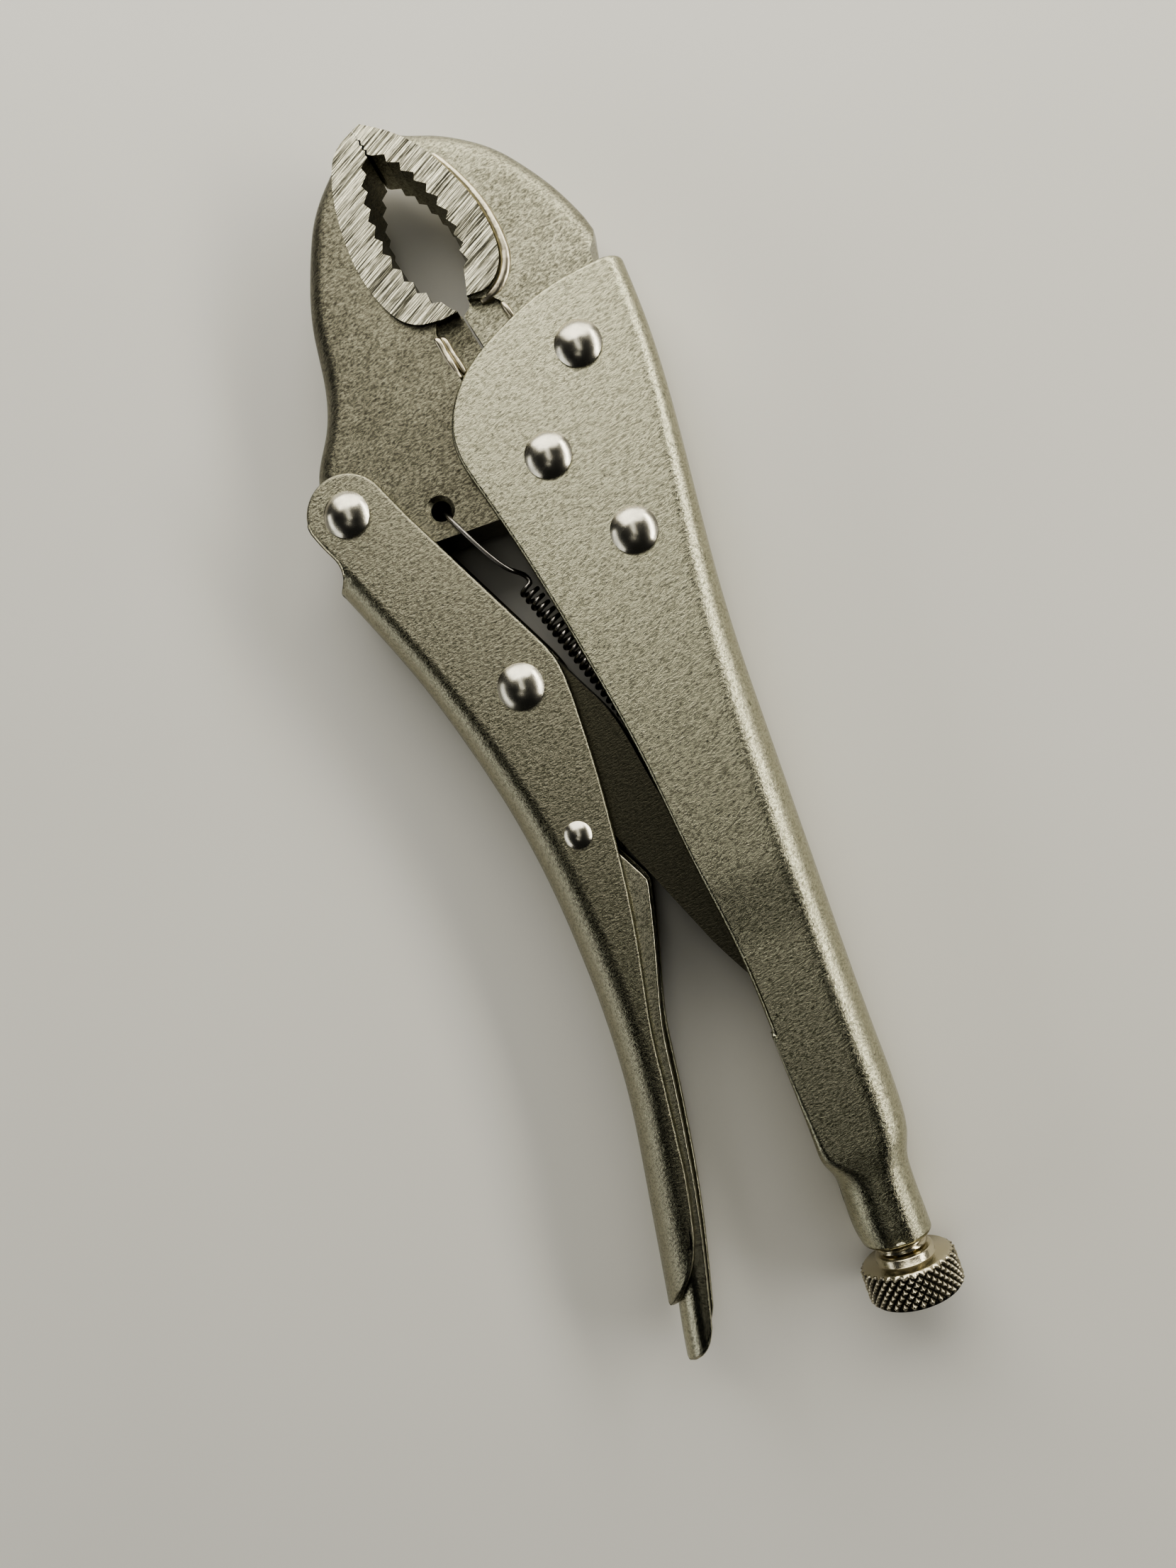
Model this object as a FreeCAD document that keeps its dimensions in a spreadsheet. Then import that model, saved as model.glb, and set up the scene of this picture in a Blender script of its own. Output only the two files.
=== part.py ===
import FreeCAD, Part
import math
import os

import Sketcher
from FreeCAD import Placement, Rotation, Vector

# Curved-jaw locking pliers, nominal 10 inch: a parametric assembly of the separate pieces.
#
# Tool datum while modelling: the jaw pivot's centre, X from the jaws towards the adjusting knob
# (parallel to the adjusting screw), Y from the lever towards the fixed handle's spine, Z along the
# rivets.  Every sub-part is then placed by the same shift, which puts the assembly's lowest point
# at Z = 0 and the middle of its box at X = Y = 0.  Lengths are millimetres.

DIMENSIONS = {
    # where the tool datum (the jaw pivot) lies in the part's own frame
    "frame_shift_x": -48.2,
    "frame_shift_y": 11.445,
    "frame_shift_z": 10.15,
    # plate and sheet thicknesses, as half widths about the middle plane where they are symmetric
    "jaw_half": 5.8,
    "pad_half": 6.8,
    "cutter_half": 4.4,
    "channel_inner_half": 5.95,
    "tube_inner_half": 5.1,
    "handle_sheet": 2.0,
    "lever_sheet": 1.8,
    "release_half": 5.7,
    "release_sheet": 1.4,
    "link_half": 4.9,
    # pivots and rivet places in the X-Y plane
    "front_rivet_x": -17.75,
    "front_rivet_y": 12.2,
    "rear_rivet_x": 19.05,
    "rear_rivet_y": 10.6,
    "lever_pivot_x": -3.3,
    "lever_pivot_y": -40.5,
    "link_pivot_x": 39.5,
    "link_pivot_y": -19.3,
    "link_tip_x": 113.0,
    "link_tip_y": 13.0,
    "release_pivot_x": 69.6,
    "release_pivot_y": -18.2,
    "spring_hole_x": 1.8,
    "spring_hole_y": -23.3,
    "spring_hole_radius": 2.0,
    "spring_lug_x": 83.0,
    "spring_lug_y": 13.0,
    # rivets
    "rivet_radius": 3.0,
    "rivet_head_radius": 4.55,
    "rivet_head_height": 2.2,
    "small_rivet_radius": 1.8,
    "small_head_radius": 2.65,
    "small_head_height": 1.3,
    "head_rim": 0.35,
    "running_clearance": 0.06,
    # jaws
    "boss_radius": 9.5,
    "jaw_edge_round": 4.4,
    "lower_jaw_edge_round": 4.0,
    # adjusting screw, its knob and the tube that it runs in
    "screw_axis_y": 13.7,
    "screw_radius": 4.95,
    "bore_radius": 5.05,
    "screw_tip_x": 117.6,
    "journal_radius": 3.5,
    "tube_end_x": 160.8,
    "collar_start_x": 163.1,
    "knob_start_x": 164.7,
    "knob_end_x": 171.6,
    "knob_radius": 9.15,
    "collar_radius": 5.6,
    "knob_chamfer": 0.8,
    # return spring
    "wire_radius": 0.46,
    "coil_radius": 1.5,
    "coil_pitch": 1.66,
}

D = DIMENSIONS
doc = FreeCAD.newDocument("locking_pliers")


# ---------------------------------------------------------------- the spreadsheet of dimensions
def make_sheet():
    sheet = doc.addObject("Spreadsheet::Sheet", "dims")
    sheet.Label = "dims"
    for row, (name, value) in enumerate(DIMENSIONS.items(), start=1):
        sheet.set(f"A{row}", name)
        sheet.set(f"B{row}", str(value))
        sheet.setAlias(f"B{row}", name)
    return sheet


# ---------------------------------------------------------------- helpers for bodies and sketches
def new_body(label):
    body = doc.addObject("PartDesign::Body", label)
    body.Label = label
    for axis in "xyz":
        body.setExpression(f"Placement.Base.{axis}", f"dims.frame_shift_{axis}")
    return body


def origin_plane(body, role):
    return next(item for item in body.Origin.OriginFeatures if item.Role == role)


def new_sketch(body, name, role="XY_Plane", offset=(0, 0, 0), bound=()):
    """A sketch on one of the body's own origin planes; bound names cells that drive its offset."""
    sketch = body.newObject("Sketcher::SketchObject", name)
    sketch.AttachmentSupport = [(origin_plane(body, role), "")]
    sketch.MapMode = "FlatFace"
    sketch.AttachmentOffset = Placement(Vector(*offset), Rotation())
    for axis, expression in bound:
        sketch.setExpression(f"AttachmentOffset.Base.{axis}", expression)
    return sketch


def v2(point):
    return Vector(point[0], point[1], 0)


def line(a, b):
    return Part.LineSegment(v2(a), v2(b))


def arc(a, middle, b):
    return Part.Arc(v2(a), v2(middle), v2(b))


def curve(points):
    spline = Part.BSplineCurve()
    spline.interpolate([v2(p) for p in points])
    return spline


def on_circle(centre, radius, degrees):
    angle = math.radians(degrees)
    return (centre[0] + radius * math.cos(angle), centre[1] + radius * math.sin(angle))


def path(start, *steps):
    """Edges from start through steps: a point (line), ("arc", middle, end) or ("curve", points)."""
    edges = []
    here = start
    for step in steps:
        if step[0] == "arc":
            edges.append(arc(here, step[1], step[2]))
            here = step[2]
        elif step[0] == "curve":
            edges.append(curve([here] + list(step[1])))
            here = step[1][-1]
        else:
            edges.append(line(here, step))
            here = step
    if math.dist(here, start) > 1e-6:
        edges.append(line(here, start))
    return edges


def join_ends(sketch, first, last):
    """Coincident constraints between the touching ends of a closed chain of edges."""
    ids = list(range(first, last + 1))
    for one, other in zip(ids, ids[1:] + ids[:1]):
        for end in (1, 2):
            for start in (1, 2):
                gap = sketch.getPoint(one, end).distanceToPoint(sketch.getPoint(other, start))
                used = len(ids) == 2 and end == 1
                if gap < 1e-6 and not used:
                    sketch.addConstraint(Sketcher.Constraint("Coincident", one, end, other, start))


def draw(sketch, edges):
    first = sketch.GeometryCount
    for edge in edges:
        sketch.addGeometry(edge, False)
    join_ends(sketch, first, sketch.GeometryCount - 1)


def pad(body, name, edges, length):
    """A plate about the middle plane; length is an expression over the sheet."""
    sketch = new_sketch(body, name + "_outline")
    draw(sketch, edges)
    feature = body.newObject("PartDesign::Pad", name)
    feature.Profile = sketch
    feature.SideType = "Symmetric"
    feature.setExpression("Length", length)
    return feature


def cut_through(body, name, *outlines):
    """A pocket right through, both ways from the middle plane."""
    sketch = new_sketch(body, name + "_outline")
    for edges in outlines:
        draw(sketch, edges)
    feature = body.newObject("PartDesign::Pocket", name)
    feature.Profile = sketch
    feature.SideType = "Symmetric"
    feature.Type = "Length"
    feature.Length = 60
    return feature


def cut_hole(body, name, pivot, radius, length=60):
    """A round hole about the middle plane, at the pivot whose cells are pivot_x and pivot_y."""
    bound = [("x", f"dims.{pivot}_x"), ("y", f"dims.{pivot}_y")]
    sketch = new_sketch(body, name + "_circle", offset=(D[pivot + "_x"], D[pivot + "_y"], 0), bound=bound)
    sketch.addGeometry(Part.Circle(Vector(0, 0, 0), Vector(0, 0, 1), 3.0), False)
    sketch.addConstraint(Sketcher.Constraint("Coincident", 0, 3, -1, 1))
    index = sketch.addConstraint(Sketcher.Constraint("Radius", 0, 3.0))
    sketch.renameConstraint(index, "hole_radius")
    sketch.setExpression("Constraints.hole_radius", radius)
    feature = body.newObject("PartDesign::Pocket", name)
    feature.Profile = sketch
    feature.SideType = "Symmetric"
    feature.Type = "Length"
    feature.Length = length
    return feature


def bind_point(sketch, geometry, end, axis, expression, value):
    """Drive one coordinate of a sketch point, measured from the sketch's origin."""
    kind = "DistanceX" if axis == "x" else "DistanceY"
    index = sketch.addConstraint(Sketcher.Constraint(kind, -1, 1, geometry, end, value))
    name = f"size_{index}"
    sketch.renameConstraint(index, name)
    sketch.setExpression(f"Constraints.{name}", expression)


def loft(body, kind, name, sections):
    feature = body.newObject(f"PartDesign::{kind}Loft", name)
    feature.Profile = sections[0]
    feature.Sections = sections[1:]
    feature.Ruled = False
    return feature


def channel_section(body, name, x, spine, half, corner, far, width):
    """A U-shaped section's outer or inner outline across X, its spine at y = spine, mouth at far."""
    side = 1 if spine > far else -1
    turn = spine - side * corner
    reach = corner * math.sqrt(0.5)
    sketch = new_sketch(body, name, "YZ_Plane", (0, 0, x))
    knee = (turn + side * reach, half - corner + reach)
    steps = [
        (turn, half),
        ("arc", knee, (spine, half - corner)),
        (spine, -half + corner),
        ("arc", (knee[0], -knee[1]), (turn, -half)),
        (far, -half),
    ]
    draw(sketch, path((far, half), *steps))
    bind_point(sketch, 0, 1, "y", width, half)
    return sketch


def channel(body, name, stations, far, thickness):
    """Loft the outer channel through its stations and take the inner channel out of it."""
    outer = []
    inner = []
    for number, (x, spine, half, corner, width) in enumerate(stations):
        side = 1 if spine > far else -1
        outer.append(channel_section(body, f"{name}_out_{number}", x, spine, half, corner, far, width))
        inner_width = f"{width} - dims.{thickness}"
        depth = D[thickness]
        inner.append(
            channel_section(
                body,
                f"{name}_in_{number}",
                x,
                spine - side * depth,
                half - depth,
                corner - depth,
                far - side,
                inner_width,
            )
        )
    loft(body, "Additive", name + "_shell", outer)
    loft(body, "Subtractive", name + "_hollow", inner)


def keep_inside(body, name, edges, low, high):
    """Cut away all that lies outside the outline, within the rectangle from low to high."""
    frame = path(low, (high[0], low[1]), high, (low[0], high[1]))
    return cut_through(body, name, frame, edges)


def fillet(body, name, radius, wanted):
    """Round those edges of the body so far for which wanted(edge) is true."""
    doc.recompute()
    base = body.Tip
    names = [f"Edge{i}" for i, edge in enumerate(base.Shape.Edges, start=1) if wanted(edge)]
    feature = body.newObject("PartDesign::Fillet", name)
    feature.Base = (base, names)
    if isinstance(radius, str):
        feature.setExpression("Radius", radius)
    else:
        feature.Radius = radius
    doc.recompute()
    return feature


def middle(edge):
    return edge.valueAt((edge.FirstParameter + edge.LastParameter) / 2)


def at_height(edge, height):
    """True where the whole edge lies at one of the planes z = +height and z = -height."""
    ends = [edge.valueAt(edge.FirstParameter), middle(edge), edge.valueAt(edge.LastParameter)]
    return all(abs(abs(point.z) - height) < 1e-3 for point in ends)


# ---------------------------------------------------------------- outlines that two jaws share
NOSE_LINE = ((-77.0, -16.1), (-66.8, -13.85))
UPPER_TEETH = {"centre": (-44.65, -33.84), "tip": 30.61, "valley": 31.8, "first": 138.0, "last": 81.8,
               "teeth": 10, "lean": 0.68}
LOWER_TEETH = {"centre": (-54.81, 12.41), "tip": 29.43, "valley": 30.55, "first": -115.3, "last": -49.3,
               "teeth": 11, "lean": 0.6}
NOSE_TEETH = {"first_x": -71.3, "pitch": 1.1, "count": 3, "depth": 0.5}
TIP_GAP = 0.12
TEETH_GAP = 0.34


def nose_height(x):
    (x0, y0), (x1, y1) = NOSE_LINE
    return y0 + (y1 - y0) * (x - x0) / (x1 - x0)


def nose_zigzag(tip_offset, offset):
    """The nose line moved off by tip_offset at the tip, and by offset along its small interlocking teeth."""
    before = NOSE_TEETH["first_x"] - 0.3
    points = [(NOSE_LINE[0][0], nose_height(NOSE_LINE[0][0]) + tip_offset)]
    points.append((before, nose_height(before) + tip_offset))
    for number in range(NOSE_TEETH["count"]):
        x = NOSE_TEETH["first_x"] + number * NOSE_TEETH["pitch"]
        points.append((x, nose_height(x) + offset))
        points.append((x + 0.35 * NOSE_TEETH["pitch"], nose_height(x) + NOSE_TEETH["depth"] + offset))
    last = NOSE_TEETH["first_x"] + NOSE_TEETH["count"] * NOSE_TEETH["pitch"]
    points.append((last, nose_height(last) + offset))
    return points


def jaw_zigzag(row):
    """Tips and valleys of the big teeth, along two arcs about one centre."""
    points = []
    step = (row["last"] - row["first"]) / (row["teeth"] - 1)
    for number in range(row["teeth"]):
        angle = row["first"] + number * step
        points.append(on_circle(row["centre"], row["tip"], angle))
        if number < row["teeth"] - 1:
            points.append(on_circle(row["centre"], row["valley"], angle + row["lean"] * step))
    return points


# ---------------------------------------------------------------- fixed jaw
def make_fixed_jaw():
    body = new_body("fixed_jaw")
    below_nose = (-74.0, -17.0)
    nose = (-75.2, -13.9)
    back = [(-72.9, -9.7), (-71.0, -6.2), (-68.9, -1.2), (-66.0, 3.9), (-61.0, 10.0), (-56.0, 14.0),
            (-51.0, 17.3), (-46.0, 19.9), (-42.5, 21.4)]
    boss = D["boss_radius"] + 0.45
    boss_end = on_circle((0, 0), boss, 124)
    cutter_end = (-24.6, -4.85)
    half_way = ((boss_end[0] + 2 * cutter_end[0]) / 3, (boss_end[1] + 2 * cutter_end[1]) / 3)
    forging = path(
        below_nose,
        nose,
        ("curve", back),
        (-39.8, 22.2),
        (-37.2, 21.6),
        (-34.6, 20.1),
        (22.0, 18.4),
        ("arc", (26.0, 15.5), (27.6, 10.6)),
        ("arc", (25.5, 4.8), (19.6, 2.8)),
        (12.4, 4.3),
        ("curve", [(9.6, 5.2), on_circle((0, 0), boss, 42)]),
        ("arc", on_circle((0, 0), boss, 84), boss_end),
        half_way,
        (-27.6, 1.5),
        (-31.9, 1.0),
        (-33.4, -0.4),
        (-35.5, -9.0),
    )
    pad(body, "forging", forging, "2 * dims.jaw_half")
    fillet(body, "forging_round", "dims.jaw_edge_round",
           lambda edge: at_height(edge, D["jaw_half"]) and edge.Length > 45 and middle(edge).x < -45)
    cutter = path(cutter_end, half_way, (-20.0, 3.0), (-34.0, 3.0), (-37.0, -9.0))
    pad(body, "cutter", cutter, "2 * dims.cutter_half")
    pad_outline = path(
        (-72.9, -16.9),
        (-74.1, -13.6),
        ("curve", [(-72.8, -11.7), (-71.1, -9.35), (-69.4, -7.4), (-67.2, -5.35), (-63.8, -2.85),
                   (-59.8, -0.65), (-55.5, 1.3), (-50.7, 2.95), (-45.9, 3.8), (-41.7, 3.9), (-39.15, 3.35),
                   (-36.95, 2.05), (-35.3, 0.1), (-34.7, -1.8)]),
        (-34.9, -6.0),
        (-60.0, -16.0),
    )
    pad(body, "ground_pad", pad_outline, "2 * dims.pad_half")
    mouth = [*nose_zigzag(0.0, 0.0), *jaw_zigzag(UPPER_TEETH), (-35.6, -4.5), (-33.6, -5.2), (-32.4, -6.75),
             cutter_end, (-24.6, -20.0), (-90.0, -20.0), (-90.0, NOSE_LINE[0][1])]
    cut_through(body, "mouth", path(mouth[0], *mouth[1:]))
    cut_hole(body, "front_rivet_hole", "front_rivet", "dims.rivet_radius")
    cut_hole(body, "rear_rivet_hole", "rear_rivet", "dims.rivet_radius")
    return body


# ---------------------------------------------------------------- moving jaw
def make_moving_jaw():
    body = new_body("moving_jaw")
    pivot = (D["lever_pivot_x"], D["lever_pivot_y"])
    ear = 7.2
    nose = (-74.3, -16.1)
    above_nose = (-75.8, -12.0)
    front = [(-73.2, -18.5), (-70.5, -21.5), (-66.0, -25.9), (-61.0, -29.5), (-56.0, -31.8), (-51.0, -33.7),
             (-46.0, -35.3), (-41.0, -36.4), (-36.0, -37.0), (-31.0, -37.6), (-26.0, -38.7), (-21.0, -40.7),
             (-16.0, -43.7), on_circle(pivot, ear, 222)]
    boss = D["boss_radius"]
    cutter_end = (-25.3, -5.65)
    forging = path(
        above_nose,
        ("curve", [nose] + front),
        ("arc", on_circle(pivot, ear, 280), on_circle(pivot, ear, 338)),
        ("curve", [(6.6, -36.0), (7.2, -28.0)]),
        (7.6, -13.0),
        ("curve", [(8.9, -7.0), on_circle((0, 0), boss, -12)]),
        ("arc", on_circle((0, 0), boss, 60), on_circle((0, 0), boss, 123.9)),
        (-15.5, 1.0),
        (-19.2, -10.9),
        (-20.6, -11.25),
        (-30.5, -12.9),
        (-33.0, -12.0),
        (-36.0, -4.0),
    )
    pad(body, "forging", forging, "2 * dims.jaw_half")
    fillet(body, "forging_round", "dims.lower_jaw_edge_round",
           lambda edge: at_height(edge, D["jaw_half"]) and edge.Length > 60)
    cutter = path(cutter_end, (-15.5, 1.0), (-16.0, -14.0), (-36.0, -16.0), (-36.0, -6.0))
    pad(body, "cutter", cutter, "2 * dims.cutter_half")
    pad_outline = path(
        (-74.3, -12.5),
        (-73.3, -15.5),
        ("curve", [(-72.2, -17.9), (-70.9, -19.65), (-69.8, -20.6), (-68.7, -21.2), (-67.2, -21.8),
                   (-65.1, -22.5), (-60.9, -23.35), (-54.8, -23.75), (-49.1, -23.5), (-43.4, -22.4),
                   (-38.7, -20.65), (-35.4, -18.6), (-33.5, -16.3), (-32.65, -13.6)]),
        (-32.3, -10.6),
        (-32.6, -7.6),
        (-36.0, -4.0),
        (-60.0, -9.0),
    )
    pad(body, "ground_pad", pad_outline, "2 * dims.pad_half")
    mouth = [*nose_zigzag(-TIP_GAP, -TEETH_GAP), *jaw_zigzag(LOWER_TEETH), (-33.4, -8.3), (-32.5, -7.15),
             cutter_end, (-25.2, 0.0), (-90.0, 0.0), (-90.0, NOSE_LINE[0][1])]
    cut_through(body, "mouth", path(mouth[0], *mouth[1:]))
    cut_hole_at_datum(body, "jaw_pivot_bore", "dims.rivet_radius + dims.running_clearance")
    cut_hole(body, "lever_pivot_bore", "lever_pivot", "dims.rivet_radius + dims.running_clearance")
    cut_hole(body, "spring_hole", "spring_hole", "dims.spring_hole_radius")
    chamfer_hole(body)
    return body


def cut_hole_at_datum(body, name, radius):
    """A round hole right through on the jaw pivot's axis, which is the datum."""
    sketch = new_sketch(body, name + "_circle")
    sketch.addGeometry(Part.Circle(Vector(0, 0, 0), Vector(0, 0, 1), 3.0), False)
    sketch.addConstraint(Sketcher.Constraint("Coincident", 0, 3, -1, 1))
    index = sketch.addConstraint(Sketcher.Constraint("Radius", 0, 3.0))
    sketch.renameConstraint(index, "hole_radius")
    sketch.setExpression("Constraints.hole_radius", radius)
    feature = body.newObject("PartDesign::Pocket", name)
    feature.Profile = sketch
    feature.SideType = "Symmetric"
    feature.Type = "Length"
    feature.Length = 60
    return feature


def chamfer_hole(body):
    """The countersink on both mouths of the spring's hole."""
    doc.recompute()
    base = body.Tip
    centre = Vector(D["spring_hole_x"], D["spring_hole_y"], 0)
    names = []
    for number, edge in enumerate(base.Shape.Edges, start=1):
        flat = Vector(middle(edge).x, middle(edge).y, 0)
        if at_height(edge, D["jaw_half"]) and flat.distanceToPoint(centre) < D["spring_hole_radius"] + 0.01:
            names.append(f"Edge{number}")
    feature = body.newObject("PartDesign::Chamfer", "spring_hole_countersink")
    feature.Base = (base, names)
    feature.Size = 0.9
    doc.recompute()


# ---------------------------------------------------------------- fixed handle
def make_fixed_handle():
    body = new_body("fixed_handle")
    wide = "dims.channel_inner_half + dims.handle_sheet"
    slim = "dims.tube_inner_half + dims.handle_sheet"
    wide_half = D["channel_inner_half"] + D["handle_sheet"]
    slim_half = D["tube_inner_half"] + D["handle_sheet"]
    step = wide_half - slim_half
    stations = [
        (-40.0, 24.9, wide_half, 4.0, wide),
        (-20.0, 25.9, wide_half, 4.0, wide),
        (0.0, 25.2, wide_half, 4.3, wide),
        (20.0, 23.5, wide_half, 5.0, wide),
        (40.0, 22.2, wide_half, 6.2, wide),
        (60.0, 22.0, wide_half, 6.9, wide),
        (80.0, 22.0, wide_half, 7.1, wide),
        (87.0, 22.0, wide_half - 0.06 * step, 7.1, f"{wide} - {0.06 * step}"),
        (92.5, 22.0, wide_half - 0.5 * step, 7.0, f"{wide} - {0.5 * step}"),
        (98.0, 22.0, slim_half + 0.06 * step, 6.9, f"{slim} + {0.06 * step}"),
        (105.0, 22.0, slim_half, 6.8, slim),
        (112.0, 22.07, slim_half, 6.8, slim),
        (119.0, 22.15, slim_half, 6.8, slim),
        (126.5, 22.3, slim_half, 6.8, slim),
        (134.0, 22.4, slim_half, 6.8, slim),
        (141.0, 22.0, slim_half, 6.8, slim),
    ]
    channel(body, "channel", stations, -34.0, "handle_sheet")
    open_edge = [(-9.0, -16.4), (0.9, -14.8), (20.6, -9.7), (40.4, -5.6), (60.1, -2.1), (80.0, 0.3),
                 (99.0, 2.9), (118.5, 4.1), (142.0, 4.6)]
    side = path(
        (-31.6, 30.0),
        (-31.6, 21.0),
        ("curve", [(-30.2, 10.0), (-26.7, 0.2), (-20.8, -9.7), (-15.9, -13.9)] + open_edge),
        (142.0, 30.0),
    )
    keep_inside(body, "side_outline", side, (-60.0, -50.0), (141.0, 40.0))
    shoulder(body)
    spring_lug(body)
    for pivot in ("front_rivet", "rear_rivet"):
        cut_hole(body, pivot + "_hole", pivot, "dims.rivet_radius")
    cut_hole_at_datum(body, "jaw_pivot_hole", "dims.rivet_radius")
    return body


def oval_section(body, name, x, low, high, half, top_round, low_round):
    """A closed rounded section across X, from y = low to y = high."""
    sketch = new_sketch(body, name, "YZ_Plane", (0, 0, x))
    bend = math.sqrt(0.5)

    def corner(y, z, radius, toward_y, toward_z):
        centre = (y - toward_y * radius, z - toward_z * radius)
        return (centre[0] + toward_y * radius * bend, centre[1] + toward_z * radius * bend)

    steps = [
        (high - top_round, half),
        ("arc", corner(high, half, top_round, 1, 1), (high, half - top_round)),
        (high, -half + top_round),
        ("arc", corner(high, -half, top_round, 1, -1), (high - top_round, -half)),
        (low + low_round, -half),
        ("arc", corner(low, -half, low_round, -1, -1), (low, -half + low_round)),
        (low, half - low_round),
        ("arc", corner(low, half, low_round, -1, 1), (low + low_round, half)),
    ]
    draw(sketch, path((low + low_round, half), *steps))
    return sketch


def shoulder(body):
    """The swaged end: the channel closes round to a threaded tube with a seam on its open side."""
    half = D["tube_inner_half"] + D["handle_sheet"]
    outer = [
        (141.0, 4.6, 22.0, half, 6.8, 0.7),
        (143.5, 4.7, 21.4, half, 6.75, 2.2),
        (146.5, 5.3, 20.4, half - 0.15, 6.6, 4.6),
        (149.5, 6.1, 20.0, half - 0.45, 6.4, 6.2),
        (154.0, 5.9, 20.0, half - 0.45, 6.4, 6.4),
        (158.0, 6.3, 20.1, half - 0.45, 6.4, 6.4),
        (D["tube_end_x"], 7.0, 20.1, half - 0.65, 6.3, 6.2),
    ]
    loft(body, "Additive", "shoulder",
         [oval_section(body, f"shoulder_out_{n}", *row) for n, row in enumerate(outer)])
    inner_half = D["tube_inner_half"]
    bore = D["bore_radius"]
    axis = D["screw_axis_y"]
    sheet = D["handle_sheet"]
    flat = 0.02
    inner = [
        (140.8, -2.0, 22.0 - sheet, inner_half, 4.8, 0.5),
        (144.0, 3.0, 21.2 - sheet, inner_half, 4.8, 2.0),
        (147.5, 7.6, 19.2, inner_half, 4.9, 4.2),
        (151.0, axis - bore, axis + bore, bore, bore - flat, bore - flat),
    ]
    loft(body, "Subtractive", "shoulder_hollow",
         [oval_section(body, f"shoulder_in_{n}", *row) for n, row in enumerate(inner)])
    bore_cut(body)
    seam = path((140.0, -3.0), (165.0, -3.0), (165.0, axis - 1.0), (140.0, axis - 1.0))
    sketch = new_sketch(body, "seam_outline")
    draw(sketch, seam)
    slit = body.newObject("PartDesign::Pocket", "seam")
    slit.Profile = sketch
    slit.SideType = "Symmetric"
    slit.Length = 0.5


def bore_cut(body):
    """The bore that the adjusting screw runs in, with a lead-in chamfer at its mouth."""
    sketch = new_sketch(body, "bore_profile", offset=(0, D["screw_axis_y"], 0), bound=[("y", "dims.screw_axis_y")])
    end = D["tube_end_x"] + 0.5
    bore = D["bore_radius"]
    draw(sketch, path((149.0, 0.0), (end, 0.0), (end, bore + 1.1), (end - 1.4, bore), (149.0, bore)))
    bind_point(sketch, 4, 1, "y", "dims.bore_radius", bore)
    groove = body.newObject("PartDesign::Groove", "bore")
    groove.Profile = sketch
    groove.ReferenceAxis = (sketch, ["H_Axis"])
    groove.Angle = 360


def spring_lug(body):
    """The small lug under the spine that the return spring's rear hook holds on to."""
    x = D["spring_lug_x"]
    y = D["spring_lug_y"]
    outline = path((x - 3.6, 20.6), (x - 2.4, y), ("arc", (x, y - 2.4), (x + 2.4, y)), (x + 3.6, 20.6))
    pad(body, "spring_lug", outline, "1.8")
    cut_hole(body, "spring_lug_hole", "spring_lug", "1.1", 4)


# ---------------------------------------------------------------- lever (the moving handle)
def make_lever():
    body = new_body("lever")
    half = D["channel_inner_half"] + D["lever_sheet"]
    width = "dims.channel_inner_half + dims.lever_sheet"
    spine = [(-16.0, -59.5, 6.0), (-4.0, -54.2, 6.0), (10.0, -47.7, 6.0), (20.0, -43.3, 6.0), (30.0, -39.2, 6.1),
             (40.0, -35.8, 6.3), (50.0, -32.9, 6.6), (60.0, -30.4, 6.9), (70.0, -28.5, 7.1), (80.0, -27.2, 7.3),
             (90.0, -26.4, 7.4), (100.0, -25.9, 7.4), (110.0, -25.9, 7.4), (120.0, -26.4, 7.4),
             (130.0, -27.6, 7.4), (140.0, -29.1, 7.4), (150.0, -30.6, 7.4), (162.0, -32.4, 7.4)]
    stations = [(x, y, half, corner, width) for x, y, corner in spine]
    channel(body, "channel", stations, 4.0, "lever_sheet")
    pivot = (D["lever_pivot_x"], D["lever_pivot_y"])
    ear = 8.3
    side = path(
        on_circle(pivot, ear, 118),
        ("arc", on_circle(pivot, ear, 200), on_circle(pivot, ear, 285)),
        ("curve", [(2.6, -46.6), (5.0, -45.5), (8.0, -45.8), (9.6, -47.4)]),
        (9.0, -60.0),
        (160.6, -60.0),
        (160.6, -32.0),
        ("curve", [(159.6, -30.6), (157.6, -28.4), (155.0, -26.0), (152.4, -24.2), (147.6, -22.2)]),
        ("curve", [(137.8, -20.2), (128.0, -19.1), (118.4, -18.1), (108.7, -17.1), (99.0, -15.4),
                   (89.7, -13.8), (79.9, -12.5), (70.0, -11.6), (60.1, -10.9), (50.3, -10.6), (42.0, -10.6)]),
        ("curve", [(37.4, -11.1), (30.5, -13.9)]),
        (0.9, -29.4),
    )
    keep_inside(body, "side_outline", side, (-40.0, -80.0), (180.0, 20.0))
    cut_hole(body, "lever_pivot_hole", "lever_pivot", "dims.rivet_radius")
    cut_hole(body, "link_pivot_hole", "link_pivot", "dims.rivet_radius")
    cut_hole(body, "release_pivot_hole", "release_pivot", "dims.small_rivet_radius")
    return body


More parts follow.
